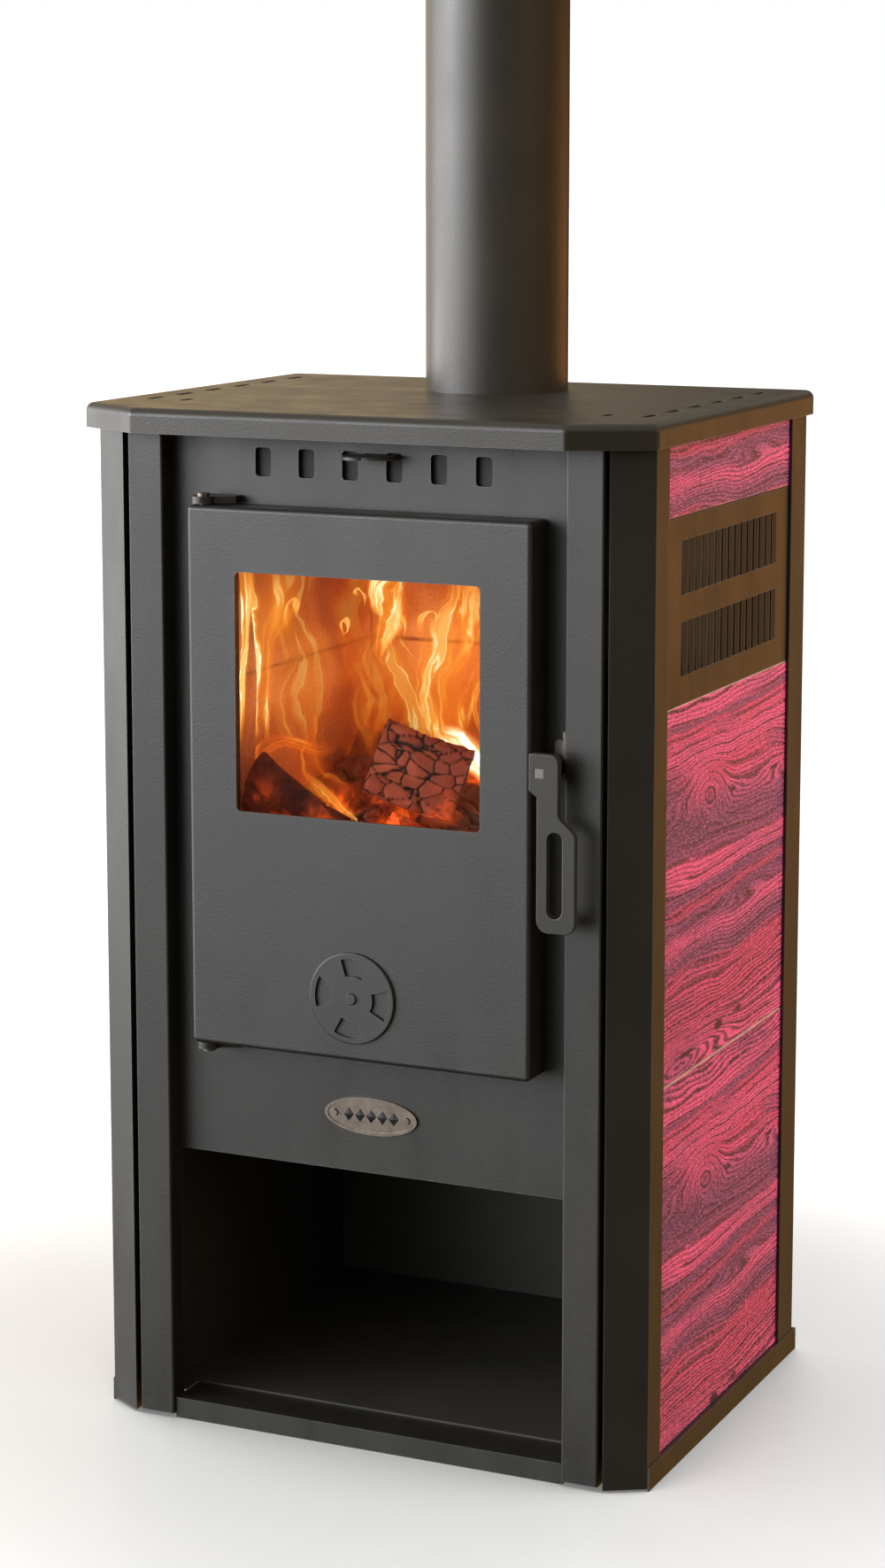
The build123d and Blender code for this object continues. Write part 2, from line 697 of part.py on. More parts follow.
save(door_shell.part, "door_shell")

liner_y, liner_t = -163.5, 2.0
liner_margin = 24.0         # how much larger its window is than the door's, across both sides
rope_outer = 10.0           # rope ring's distance inside the door's outer edge
rope_w = 9.0
with BuildPart() as door_liner:
    with BuildSketch(front_plane(liner_y + liner_t)):
        middle_rect(door_left + door_skin, door_right - door_skin,
                    door_bottom + door_skin, door_top - door_skin)
        with Locations((window_x, window_z)):
            RectangleRounded(window_w + liner_margin, window_h + liner_margin, 4, mode=Mode.SUBTRACT)
        with Locations((rosette_x, rosette_z)):
            Circle(34, mode=Mode.SUBTRACT)
    extrude(amount=liner_t)
    for inset in (rope_outer - 2.0, rope_outer + rope_w + 0.2):
        with BuildSketch(front_plane(door_rear)):
            rect_ring(door_left + inset, door_right - inset,
                      door_bottom + inset, door_top - inset, 1.8)
        extrude(amount=door_rear - liner_y - liner_t)
save(door_liner.part, "door_liner")

with BuildPart() as door_rope_seal:
    with BuildSketch(front_plane(panel_y - 0.4)):
        rect_ring(door_left + rope_outer, door_right - rope_outer,
                  door_bottom + rope_outer, door_top - rope_outer, rope_w)
    extrude(amount=panel_y - 0.4 - liner_y - liner_t)
save(door_rope_seal.part, "door_rope_seal")

glass_front, glass_t = -181.0, 4.0
with BuildPart() as glass_gasket:
    with BuildSketch(front_plane(glass_front)):
        with Locations((window_x, window_z)):
            Rectangle(window_w + 22, window_h + 22)
            Rectangle(window_w + 2, window_h + 2, mode=Mode.SUBTRACT)
    extrude(amount=glass_front - door_front - door_skin)
save(glass_gasket.part, "glass_gasket")

with BuildPart() as door_glass:
    with BuildSketch(front_plane(glass_front + glass_t)):
        with Locations((window_x, window_z)):
            RectangleRounded(window_w + 22, window_h + 22, 2)
    extrude(amount=glass_t)
save(door_glass.part, "door_glass")

clip_y = glass_front + glass_t
clip_x, clip_z = window_w / 2 + 18, window_h / 2 - 26
with BuildPart() as glass_clips:
    with BuildSketch(front_plane(clip_y + 2)):
        with Locations((window_x, window_z)):
            with GridLocations(2 * clip_x - 4, 2 * clip_z, 2, 2):
                Rectangle(18, 20)
            with GridLocations(2 * clip_x, 2 * clip_z, 2, 2):
                Circle(2.5, mode=Mode.SUBTRACT)
    extrude(amount=2)
    with BuildSketch(front_plane(clip_y)):
        with Locations((window_x, window_z)):
            with GridLocations(2 * clip_x + 2, 2 * clip_z, 2, 2):
                Rectangle(10, 20)
            with GridLocations(2 * clip_x, 2 * clip_z, 2, 2):
                Circle(2.5, mode=Mode.SUBTRACT)
    extrude(amount=clip_y - door_front - door_skin)
save(glass_clips.part, "glass_clips")

with BuildPart() as clip_screws:
    with BuildSketch(front_plane(clip_y + 2)):
        with Locations((window_x, window_z)):
            with GridLocations(2 * clip_x, 2 * clip_z, 2, 2):
                Circle(2.3)
    extrude(amount=clip_y + 2 - door_front - door_skin)
    with BuildSketch(front_plane(clip_y + 5)):
        with Locations((window_x, window_z)):
            with GridLocations(2 * clip_x, 2 * clip_z, 2, 2):
                RegularPolygon(4.5, 6)
    extrude(amount=3)
save(clip_screws.part, "clip_screws")

# ---------------------------------------------------------------- air rosette
rosette_back = door_front - 0.3
with BuildPart() as air_rosette:
    with BuildSketch(front_plane(rosette_back)):
        with Locations((rosette_x, rosette_z)):
            Circle(rosette_r)
            Circle(2.5 + running_gap, mode=Mode.SUBTRACT)
    extrude(amount=rosette_t)
    fillet(air_rosette.faces().sort_by(Axis.Y)[0].edges().sort_by(SortBy.LENGTH)[-1], radius=1.0)
    with Locations((rosette_x, rosette_back, rosette_z)):
        add(air_windows(rosette_turn, rosette_window), mode=Mode.SUBTRACT)
save(air_rosette.part, "air_rosette")

with BuildPart() as rosette_rivet:
    rivet_length = door_skin + 0.3 + rosette_t + 0.3
    with BuildSketch(front_plane(door_front + door_skin)):
        with Locations((rosette_x, rosette_z)):
            Circle(2.5)
    extrude(amount=rivet_length)
    with BuildSketch(front_plane(door_front + door_skin - rivet_length)):
        with Locations((rosette_x, rosette_z)):
            Circle(5)
    extrude(amount=1.8, taper=30)
    with BuildSketch(front_plane(door_front + door_skin + 1.5)):
        with Locations((rosette_x, rosette_z)):
            Circle(4.5)
    extrude(amount=1.5)
save(rosette_rivet.part, "rosette_rivet")

# ---------------------------------------------------------------- handle and latch
with BuildPart() as handle_boss:
    with BuildSketch(front_plane(-166.0)):
        middle_rect(door_right, handle_x, handle_z - 9, handle_z + 9)
        with Locations((handle_x, handle_z)):
            Circle(9)
            Circle(shaft_r + running_gap, mode=Mode.SUBTRACT)
    extrude(amount=18)
save(handle_boss.part, "handle_boss")

with BuildPart() as door_handle:
    with BuildSketch(front_plane(handle_front + handle_t)) as handle_outline:
        with BuildLine():
            Polyline(
                (155.2, 592.0),
                (179.4, 592.0),
                (179.4, 543.5),
                (193.5, 531.0),
                (193.5, 453.0),
                (161.8, 453.0),
                (161.8, 558.0),
                (155.2, 563.0),
                close=True,
            )
        make_face()
        for is_corner, radius in (
            (lambda v: v.Y < 460, 9),
            (lambda v: 529 < v.Y < 545, 7),
            (lambda v: v.Y > 590 and v.X > 170, 7),
            (lambda v: v.Y > 556 and v.X < 170, 1.5),
        ):
            fillet(handle_outline.vertices().filter_by(is_corner), radius=radius)
        with Locations((176.7, 498.5)):
            SlotOverall(67, 12.3, rotation=90, mode=Mode.SUBTRACT)
        with Locations((handle_x, handle_z)):
            Rectangle(2 * shaft_r - 3, 2 * shaft_r - 3, mode=Mode.SUBTRACT)
    extrude(amount=handle_t)
    fillet(door_handle.faces().sort_by(Axis.Y)[0].edges().sort_by(SortBy.LENGTH)[4:], radius=0.8)
save(door_handle.part, "door_handle")

cam_front, cam_t, latch_reach = -156.2, 2.2, 16.0
with BuildPart() as handle_shaft:
    with BuildSketch(front_plane(cam_front)):
        with Locations((handle_x, handle_z)):
            Circle(shaft_r)
    extrude(amount=cam_front - handle_front - handle_t)
    with BuildSketch(front_plane(-184.5)):
        with Locations((handle_x, handle_z)):
            Circle(shaft_r + 2.5)
    extrude(amount=2)
    for square_back, square_length in ((handle_front + handle_t, handle_t - 0.5),
                                       (cam_front + cam_t, cam_t)):
        with BuildSketch(front_plane(square_back)):
            with Locations((handle_x, handle_z)):
                Rectangle(2 * shaft_r - 3, 2 * shaft_r - 3)
        extrude(amount=square_length)
save(handle_shaft.part, "handle_shaft")

with BuildPart() as latch_cam:
    with BuildSketch(front_plane(cam_front + cam_t)):
        with Locations((handle_x, handle_z)):
            Circle(8.5)
        middle_rect(handle_x - 3.9, handle_x + 3.9, handle_z, handle_z + latch_reach)
        with Locations((handle_x, handle_z + latch_reach)):
            Circle(3.9)
        with Locations((handle_x, handle_z)):
            Rectangle(2 * shaft_r - 3, 2 * shaft_r - 3, mode=Mode.SUBTRACT)
    extrude(amount=cam_t)
save(latch_cam.part, "latch_cam")

catch_front, catch_back = -161.5, -157.2
with BuildPart() as door_catch:
    with BuildSketch(Plane.XY.offset(handle_z + 7)):
        middle_rect(168.6, strip_in, catch_front, catch_back)
        middle_rect(strip_in - 1.8, strip_in, catch_front - 6, panel_y)
    extrude(amount=20)
save(door_catch.part, "door_catch")
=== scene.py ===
import math
import random

import bmesh
import bpy
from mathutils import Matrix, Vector, noise


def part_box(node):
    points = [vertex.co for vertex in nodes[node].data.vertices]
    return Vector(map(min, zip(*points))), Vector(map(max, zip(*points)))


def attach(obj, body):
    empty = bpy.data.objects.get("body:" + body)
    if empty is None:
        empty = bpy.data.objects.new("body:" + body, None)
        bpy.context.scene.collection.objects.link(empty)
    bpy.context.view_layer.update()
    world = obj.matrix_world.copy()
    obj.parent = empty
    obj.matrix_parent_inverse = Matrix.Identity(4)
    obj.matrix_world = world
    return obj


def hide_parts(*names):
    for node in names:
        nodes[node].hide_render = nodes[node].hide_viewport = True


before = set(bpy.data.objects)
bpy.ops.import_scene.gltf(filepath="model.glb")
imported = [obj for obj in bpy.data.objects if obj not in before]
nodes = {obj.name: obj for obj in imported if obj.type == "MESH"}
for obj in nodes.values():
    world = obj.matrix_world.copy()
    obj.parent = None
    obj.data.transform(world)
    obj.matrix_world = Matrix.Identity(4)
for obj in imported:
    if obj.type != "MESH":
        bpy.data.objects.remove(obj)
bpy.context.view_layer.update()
MM = 0.001
UP = Vector((0, 0, 1))


# ------------------------------------------------------------------ node helpers
# How far the shading normal leans over an edge, as a cosine, where the paler edge (paint wear and painted
# highlight) starts and where it is full.
EDGE_START, EDGE_FULL = 0.995, 0.90


class Nodes:
    """A node tree being built: short calls for the nodes that the materials and the world use."""

    def __init__(self, tree):
        self.tree = tree
        self.tree.nodes.clear()

    def add(self, kind):
        """A new node, by the end of its type's name."""
        return self.tree.nodes.new(f"ShaderNode{kind}")

    def link(self, a, b):
        self.tree.links.new(a, b)

    def feed(self, value, socket):
        """Link an output, or set a plain value."""
        if isinstance(value, bpy.types.NodeSocket):
            self.link(value, socket)
        elif value is not None:
            socket.default_value = value

    def math(self, operation, a, b=None, c=None, clamp=False):
        node = self.add("Math")
        node.operation = operation
        node.use_clamp = clamp
        for value, socket in zip((a, b, c), node.inputs):
            self.feed(value, socket)
        return node.outputs[0]

    def attribute(self, name):
        """A number that the mesh stores at each point."""
        node = self.add("Attribute")
        node.attribute_name = name
        return node.outputs["Fac"]

    def axes(self, vector):
        """The x, y and z of a vector."""
        node = self.add("SeparateXYZ")
        self.link(vector, node.inputs[0])
        return node.outputs[0], node.outputs[1], node.outputs[2]

    def vector(self, x=0.0, y=0.0, z=0.0):
        node = self.add("CombineXYZ")
        for value, socket in zip((x, y, z), node.inputs):
            self.feed(value, socket)
        return node.outputs[0]

    def mapped(self, vector, scale, move=(0, 0, 0)):
        """A vector stretched along its axes, then moved."""
        node = self.add("Mapping")
        self.link(vector, node.inputs["Vector"])
        node.inputs["Scale"].default_value = scale
        node.inputs["Location"].default_value = move
        return node.outputs[0]

    def noise(self, vector, scale, detail=3.0, roughness=0.5, distortion=0.0):
        node = self.add("TexNoise")
        self.link(vector, node.inputs["Vector"])
        for name, value in (("Scale", scale), ("Detail", detail), ("Roughness", roughness),
                            ("Distortion", distortion)):
            node.inputs[name].default_value = value
        return node.outputs["Fac"]

    def voronoi(self, vector, scale):
        """Distance to the nearest of the scattered points."""
        node = self.add("TexVoronoi")
        self.link(vector, node.inputs["Vector"])
        node.inputs["Scale"].default_value = scale
        return node.outputs["Distance"]

    def remap(self, value, low, high, to_low=0.0, to_high=1.0, smooth=False):
        """Carry low..high over to to_low..to_high, and hold the value there beyond both ends."""
        node = self.add("MapRange")
        node.interpolation_type = "SMOOTHSTEP" if smooth else "LINEAR"
        for number, name in ((value, "Value"), (low, "From Min"), (high, "From Max"),
                             (to_low, "To Min"), (to_high, "To Max")):
            self.feed(number, node.inputs[name])
        return node.outputs["Result"]

    def ramp(self, value, stops):
        """The colour at a value from 0 to 1, between stops of (position, colour)."""
        node = self.add("ValToRGB")
        self.link(value, node.inputs["Fac"])
        elements = node.color_ramp.elements
        while len(elements) < len(stops):
            elements.new(0.5)
        for element, (position, colour) in zip(elements, stops):
            element.position = position
            element.color = (*colour, 1.0)
        return node.outputs["Color"]

    def mix(self, factor, a, b):
        node = self.add("Mix")
        node.data_type = "RGBA"
        self.feed(factor, node.inputs[0])
        for value, socket in ((a, node.inputs[6]), (b, node.inputs[7])):
            self.feed((*value, 1.0) if isinstance(value, tuple) else value, socket)
        return node.outputs[2]

    def bump(self, height, distance, strength=1.0):
        node = self.add("Bump")
        self.link(height, node.inputs["Height"])
        node.inputs["Distance"].default_value = distance
        node.inputs["Strength"].default_value = strength
        return node.outputs["Normal"]

    def edge(self, radius):
        """About 1 along convex edges and 0 elsewhere."""
        bevel = self.add("Bevel")
        bevel.inputs["Radius"].default_value = radius
        geometry = self.add("NewGeometry")
        dot = self.add("VectorMath")
        dot.operation = "DOT_PRODUCT"
        self.link(bevel.outputs[0], dot.inputs[0])
        self.link(geometry.outputs["Normal"], dot.inputs[1])
        return self.remap(dot.outputs["Value"], EDGE_START, EDGE_FULL, 0.0, 1.0)


class Shader(Nodes):
    """A material being built around one Principled shader."""

    def __init__(self, name):
        self.material = bpy.data.materials.new(name)
        self.material.use_nodes = True
        super().__init__(self.material.node_tree)
        output = self.add("OutputMaterial")
        self.bsdf = self.add("BsdfPrincipled")
        self.link(self.bsdf.outputs["BSDF"], output.inputs["Surface"])
        self.coordinates = self.add("TexCoord")

    def set(self, **sockets):
        """Principled sockets by name, with _ for a space."""
        for name, value in sockets.items():
            self.feed(value, self.bsdf.inputs[name.replace("_", " ")])

    @property
    def place(self):
        """Position in the row frame, in metres."""
        return self.coordinates.outputs["Object"]

    @property
    def uv(self):
        return self.coordinates.outputs["UV"]


# ------------------------------------------------------------------ materials
SHEEN_WEAR_WIDTH = 1.1 * MM                            # how wide the paler edge is, partly paint wear and partly painted highlight
SLIT_START, SLIT_DEEP = 0.5 * MM, 2.6 * MM      # depths between which painted shade darkens the walls of a slit
SLIT_SHADE_BLACK = (0.0015, 0.0013, 0.001)
PAINT_GRAIN = 0.11 * MM                         # height of the paint's texture where grain is 1


def paint(name, colour, roughness, grain, sheen_wear_colour=None, gloss=0.5, face=None):
    """Heat-proof stoving paint: a fine grain, faint cloudy patches and paler edges, partly paint wear and
    partly painted highlight. Where face is given, what lies further in than that x is darkened as painted
    shade."""
    s = Shader(name)
    patches = s.noise(s.place, 9.0, 4.0, 0.55)
    specks = s.noise(s.place, 900.0, 2.0, 0.6)
    dark = tuple(c * 0.86 for c in colour)
    light = tuple(c * w for c, w in zip(colour, (1.17, 1.11, 1.03)))
    base = s.mix(s.remap(patches, 0.35, 0.65), dark, light)
    base = s.mix(s.remap(specks, 0.54, 0.74, 0.0, 0.45), base, tuple(c * 1.8 for c in colour))
    # Paler edges: partly paint worn bare, partly a painted highlight where light catches the edges.
    if sheen_wear_colour:
        sheen_and_wear = s.math("MULTIPLY", s.edge(SHEEN_WEAR_WIDTH), s.remap(patches, 0.30, 0.62, 0.35, 0.9))
        base = s.mix(sheen_and_wear, base, sheen_wear_colour)
    # Painted shade: what lies deeper than the panel's face, inside the louvre slits, is darkened towards
    # black.
    if face:
        x, _, _ = s.axes(s.place)
        slit_shade = s.remap(s.math("ABSOLUTE", x), face - SLIT_START, face - SLIT_DEEP, 0.0, 0.94)
        base = s.mix(slit_shade, base, SLIT_SHADE_BLACK)
    smudges = s.noise(s.mapped(s.place, (1.0, 1.0, 0.35)), 24.0, 5.0, 0.6)
    s.set(Base_Color=base, Roughness=s.remap(smudges, 0.3, 0.7, roughness - 0.06, roughness + 0.07),
          Specular_IOR_Level=gloss,
          Normal=s.bump(s.noise(s.place, 620.0, 3.0, 0.65), PAINT_GRAIN * grain))
    return s.material


def steel(name, colour, roughness=0.38):
    """Dull mill steel with a faint brushed direction and heat stains."""
    s = Shader(name)
    stains = s.noise(s.place, 30.0, 4.0, 0.6)
    stained = tuple(c * w for c, w in zip(colour, (0.8, 0.7, 0.62)))
    base = s.mix(s.remap(stains, 0.4, 0.7), colour, stained)
    brushed = s.noise(s.mapped(s.place, (4.0, 60.0, 60.0)), 60.0, 3.0, 0.7)
    s.set(Base_Color=base, Metallic=1.0,
          Roughness=s.remap(brushed, 0.3, 0.7, roughness - 0.08, roughness + 0.12),
          Normal=s.bump(brushed, 0.03 * MM, 0.6))
    return s.material


def cast_iron(name):
    """Rough grey iron with a few rusty patches."""
    s = Shader(name)
    pits = s.noise(s.place, 700.0, 4.0, 0.65)
    rust = s.noise(s.place, 40.0, 5.0, 0.6)
    base = s.mix(s.remap(rust, 0.5, 0.75), (0.035, 0.032, 0.03), (0.09, 0.045, 0.03))
    s.set(Base_Color=base, Roughness=s.remap(pits, 0.3, 0.7, 0.6, 0.85), Metallic=0.2,
          Normal=s.bump(pits, 0.35 * MM, 1.0))
    return s.material


COURSE_Z = 622 * MM                             # seam between the lower and upper boards
SEAM_HALF, SEAM_FADE = 0.8 * MM, 2.4 * MM       # distances from a seam's middle that are open and worn
SOOT_FROM, SOOT_TO = 600 * MM, 742 * MM
PAINTED_LIGHT_FROM, PAINTED_LIGHT_TO = 450 * MM, 745 * MM
BAFFLE_SHADE_FROM, BAFFLE_SHADE_TO = 741 * MM, 744 * MM         # the painted firelight ends here, painted shade under the baffle plate
# How strongly the painted firelight glows on the boards up their height, and its colours.
PAINTED_LIGHT_RISE = (
    (0.0, (0.08,) * 3), (0.32, (0.20,) * 3), (0.42, (0.44,) * 3), (0.50, (0.84,) * 3), (0.58, (0.76,) * 3),
    (0.61, (0.86,) * 3), (0.66, (0.60,) * 3), (0.85, (0.30,) * 3))
PAINTED_LIGHT_COLOURS = (
    (0.0, (0.05, 0.003, 0.0)), (0.35, (0.22, 0.022, 0.002)),
    (0.65, (0.44, 0.080, 0.011)), (1.0, (0.68, 0.180, 0.040)))


def firebrick(name, corner):
    """Vermiculite board with painted firelight: an emission glow, brightest halfway up, that stands in for
    the flames' light; painted shade dims it by the corner, along the seams and under the baffle plate. The
    boards are sooty towards the top. The left rear corner's x and y place the seam there."""
    s = Shader(name)
    x, y, z = s.axes(s.place)
    flakes = s.voronoi(s.place, 420.0)
    grain = s.noise(s.place, 260.0, 4.0, 0.65)
    clouds = s.noise(s.mapped(s.place, (1.0, 1.0, 0.6)), 13.0, 4.0, 0.6, 0.8)
    base = s.mix(s.remap(flakes, 0.1, 0.6), (0.20, 0.10, 0.05), (0.32, 0.19, 0.10))
    soot = s.remap(z, SOOT_FROM, SOOT_TO, 0.0, 0.75, smooth=True)
    base = s.mix(s.math("MULTIPLY", soot, s.remap(clouds, 0.3, 0.6)), base, (0.05, 0.03, 0.02))
    course = s.math("ABSOLUTE", s.math("SUBTRACT", z, COURSE_Z))
    across = s.math("SUBTRACT", x, corner[0])
    into = s.math("SUBTRACT", y, corner[1])
    square = s.math("ADD", s.math("MULTIPLY", across, across), s.math("MULTIPLY", into, into))
    reach = s.math("SQRT", square)
    seam = s.remap(s.math("MINIMUM", course, reach), SEAM_HALF, SEAM_FADE, 1.0, 0.0)
    # Painted firelight: the boards' emission stands in for the flames' light falling on them; heat here is
    # its level, not the boards' own glow.
    rise = s.ramp(s.remap(z, PAINTED_LIGHT_FROM, PAINTED_LIGHT_TO), PAINTED_LIGHT_RISE)
    heat = s.math("ADD", rise, s.remap(clouds, 0.3, 0.7, -0.26, 0.26), clamp=True)
    glow = s.ramp(heat, PAINTED_LIGHT_COLOURS)
    # Painted shade: the firelight is dimmed on the side board near the corner and along the seams.
    corner_side_shade = s.remap(x, corner[0] + 12 * MM, corner[0] + 0.5 * MM, 0.0, 0.32)
    shaded = s.math("MAXIMUM", corner_side_shade, s.math("MULTIPLY", seam, 0.75))
    glow = s.mix(shaded, glow, (0.05, 0.005, 0.0))
    # Painted shade under the baffle plate, where the painted firelight stops.
    glow = s.mix(s.remap(z, BAFFLE_SHADE_FROM, BAFFLE_SHADE_TO), glow, (0.0, 0.0, 0.0))
    height = s.math("SUBTRACT", s.math("MULTIPLY", grain, 0.6), seam)
    s.set(Base_Color=base, Roughness=0.9, Emission_Color=glow, Emission_Strength=1.0,
          Normal=s.bump(height, 0.8 * MM, 1.0))
    return s.material


PRINT_LENGTH, PRINT_HEIGHT, RIM_WIDTH = 290 * MM, 300 * MM, 1.2 * MM
CRIMSON, ROSE, PALE = (0.76, 0.066, 0.195), (0.92, 0.110, 0.310), (0.96, 0.27, 0.52)
PLUM, MAUVE, INK = (0.15, 0.052, 0.160), (0.31, 0.068, 0.205), (0.045, 0.008, 0.036)
BISQUE = (0.62, 0.46, 0.36)
# Colours of the growth rings down the tile, loops in the rings (middle u and t, widths, height), torn dark
# knots (middle u and t, widths), and how strong the fine lines are down the tile.
PRINT_BANDS = (
    (0.00, ROSE), (0.035, ROSE), (0.050, PLUM), (0.066, CRIMSON), (0.15, ROSE), (0.22, CRIMSON),
    (0.27, ROSE), (0.32, MAUVE), (0.36, PLUM), (0.415, MAUVE), (0.43, ROSE), (0.485, ROSE),
    (0.50, MAUVE), (0.52, PLUM), (0.545, CRIMSON), (0.575, PLUM), (0.60, MAUVE), (0.64, ROSE),
    (0.68, MAUVE), (0.71, PLUM), (0.73, CRIMSON), (0.86, CRIMSON), (0.92, ROSE), (1.0, ROSE))
PRINT_LOOPS = (
    (-0.02, 0.315, 0.30, 0.045, -0.065), (0.37, 0.255, 0.12, 0.075, 0.120), (1.02, 0.29, 0.16, 0.030, 0.05),
    (0.24, 0.950, 0.36, 0.042, 0.085), (0.02, 0.62, 0.22, 0.040, -0.045), (0.70, 0.58, 0.16, 0.030, 0.035))
PRINT_KNOTS = (
    (0.20, 0.945, 0.10, 0.010), (0.46, 0.925, 0.045, 0.020), (0.62, 0.915, 0.045, 0.010),
    (0.56, 0.29, 0.03, 0.010), (0.90, 0.285, 0.05, 0.010))
PRINT_LINE_STRENGTH = (
    (0.00, (0.75,) * 3), (0.07, (0.45,) * 3), (0.16, (0.55,) * 3), (0.30, (0.80,) * 3), (0.45, (0.60,) * 3),
    (0.70, (0.75,) * 3), (0.85, (0.90,) * 3), (1.0, (0.85,) * 3))
DARK_BAND_T = 0.285                             # the print is dusky here, at one end
PALE_PATCH = (0.30, 0.20, 0.10, 0.075, 1.0)     # the middle of a loop, as a hump of height 1


def glazed_wood_print(name, y_start, z_low, z_high, drop, flip):
    """Ceramic tile printed with crimson wood figure. u runs along the tile and t down from its top, which
    is drop above the piece's own top where a tile has been cut."""
    s = Shader(name)
    _, y, z = s.axes(s.place)
    u = s.math("DIVIDE", s.math("SUBTRACT", y, y_start), PRINT_LENGTH * (-1 if flip else 1))
    t = s.math("DIVIDE", s.math("SUBTRACT", z_high + drop, z), PRINT_HEIGHT)
    flat = s.vector(u, t, 0.0)

    def figure(scale_u, scale_t, detail=3.0, roughness=0.6, move=0.0):
        """Noise stretched along the grain, in features per tile."""
        stretched = s.mapped(flat, (scale_u, scale_t, 1.0), move=(move, move, 0.0))
        return s.noise(stretched, 1.0, detail, roughness)

    def swell(centre_u, centre_t, width_u, width_t, height):
        """A smooth hump in the growth rings, which bends them into loops."""
        du = s.math("DIVIDE", s.math("SUBTRACT", u, centre_u), width_u)
        dt = s.math("DIVIDE", s.math("SUBTRACT", t, centre_t), width_t)
        square = s.math("ADD", s.math("MULTIPLY", du, du), s.math("MULTIPLY", dt, dt))
        return s.math("MULTIPLY", s.math("EXPONENT", s.math("MULTIPLY", square, -1.0)), height)

    rings = s.math("ADD", t, s.remap(figure(1.3, 4.0, 2.0, 0.5), 0.25, 0.75, -0.035, 0.035))
    rings = s.math("ADD", rings, s.remap(figure(6.0, 22.0), 0.3, 0.7, -0.0035, 0.0035))
    bands = s.ramp(s.math("FRACT", rings), PRINT_BANDS)
    for hump in PRINT_LOOPS:
        rings = s.math("ADD", rings, swell(*hump))

    cloud = figure(2.0, 8.0, 4.0, 0.6)
    base = s.mix(s.remap(cloud, 0.48, 0.66, 0.0, 0.75), bands, MAUVE)
    base = s.mix(s.remap(cloud, 0.42, 0.28, 0.0, 0.7), base, CRIMSON)
    level = s.math("ABSOLUTE", s.math("SUBTRACT", t, DARK_BAND_T))
    near_end = s.remap(u, 0.45, 0.0, 0.0, 0.9, smooth=True)
    base = s.mix(s.math("MULTIPLY", near_end, s.remap(level, 0.06, 0.14, 1.0, 0.0)), base, PLUM)
    base = s.mix(s.remap(swell(*PALE_PATCH), 0.3, 0.8, 0.0, 0.85), base, ROSE)

    def lines(per_tile, width, breaks, low, high):
        """Dark growth lines, broken up along their length."""
        saw = s.math("FRACT", s.math("MULTIPLY", rings, per_tile))
        off = s.math("ABSOLUTE", s.math("SUBTRACT", saw, 0.5))
        return s.math("MULTIPLY", s.remap(off, 0.5 - width, 0.5 - width * 0.35, 0.0, 1.0),
                      s.remap(breaks, low, high))

    strength = s.ramp(s.math("FRACT", t), PRINT_LINE_STRENGTH)
    fine = lines(84.0, 0.34, figure(14.0, 70.0), 0.26, 0.42)
    base = s.mix(s.math("MULTIPLY", fine, strength), base, INK)
    coarse = lines(26.0, 0.15, figure(3.0, 18.0, move=5.0), 0.40, 0.52)
    base = s.mix(s.math("MULTIPLY", coarse, 0.9), base, INK)
    pores = figure(62.0, 330.0, 2.0)
    base = s.mix(s.remap(pores, 0.47, 0.58, 0.0, 0.66), base, INK)
    flecks = figure(50.0, 260.0, 2.0, move=3.0)
    base = s.mix(s.remap(flecks, 0.54, 0.66, 0.0, 0.42), base, PALE)
    knots = None
    for knot in PRINT_KNOTS:
        mark = swell(*knot, 1.0)
        knots = mark if knots is None else s.math("MAXIMUM", knots, mark)
    torn = figure(24.0, 80.0, 3.0, 0.7)
    base = s.mix(s.remap(s.math("MULTIPLY", knots, torn), 0.27, 0.36, 0.0, 0.95), base, INK)
    rim = s.math("MAXIMUM", s.remap(z, z_low + RIM_WIDTH, z_low), s.remap(z, z_high - RIM_WIDTH, z_high))
    base = s.mix(s.math("MULTIPLY", rim, 0.8), base, BISQUE)
    s.set(Base_Color=base, Roughness=0.40, Coat_Weight=0.12, Coat_Roughness=0.25,
          Normal=s.bump(s.math("ADD", pores, flecks), 0.05 * MM, 0.8))
    return s.material


def rope_fibre(name):
    """Woven glass-fibre rope, sooty in places."""
    s = Shader(name)
    weave = s.noise(s.place, 900.0, 3.0, 0.6)
    soot = s.noise(s.place, 18.0, 4.0, 0.6)
    base = s.mix(s.remap(weave, 0.3, 0.7), (0.22, 0.21, 0.19), (0.46, 0.44, 0.40))
    base = s.mix(s.remap(soot, 0.4, 0.7, 0.0, 0.7), base, (0.05, 0.045, 0.04))
    s.set(Base_Color=base, Roughness=0.95, Sheen_Weight=0.3, Normal=s.bump(weave, 0.25 * MM, 1.0))
    return s.material


def fire_glass(name):
    """Ceramic glass with a faint smoky film in patches. Its low IOR keeps the studio out of the fire."""
    s = Shader(name)
    film = s.noise(s.place, 14.0, 4.0, 0.6)
    s.set(Base_Color=(1.0, 0.985, 0.96, 1.0), Transmission_Weight=1.0, IOR=1.08,
          Roughness=s.remap(film, 0.5, 0.8, 0.0, 0.05))
    return s.material


def nickel_badge(name):
    """Worn warm nickel plate, a little stained."""
    s = Shader(name)
    wear = s.noise(s.place, 90.0, 4.0, 0.65)
    scratches = s.noise(s.mapped(s.place, (1.0, 1.0, 12.0)), 240.0, 3.0, 0.7)
    base = s.mix(s.remap(wear, 0.35, 0.65), (0.22, 0.18, 0.15), (0.31, 0.26, 0.22))
    s.set(Base_Color=base, Metallic=1.0, Roughness=s.remap(scratches, 0.3, 0.7, 0.26, 0.40),
          Normal=s.bump(scratches, 0.04 * MM, 0.8))
    return s.material


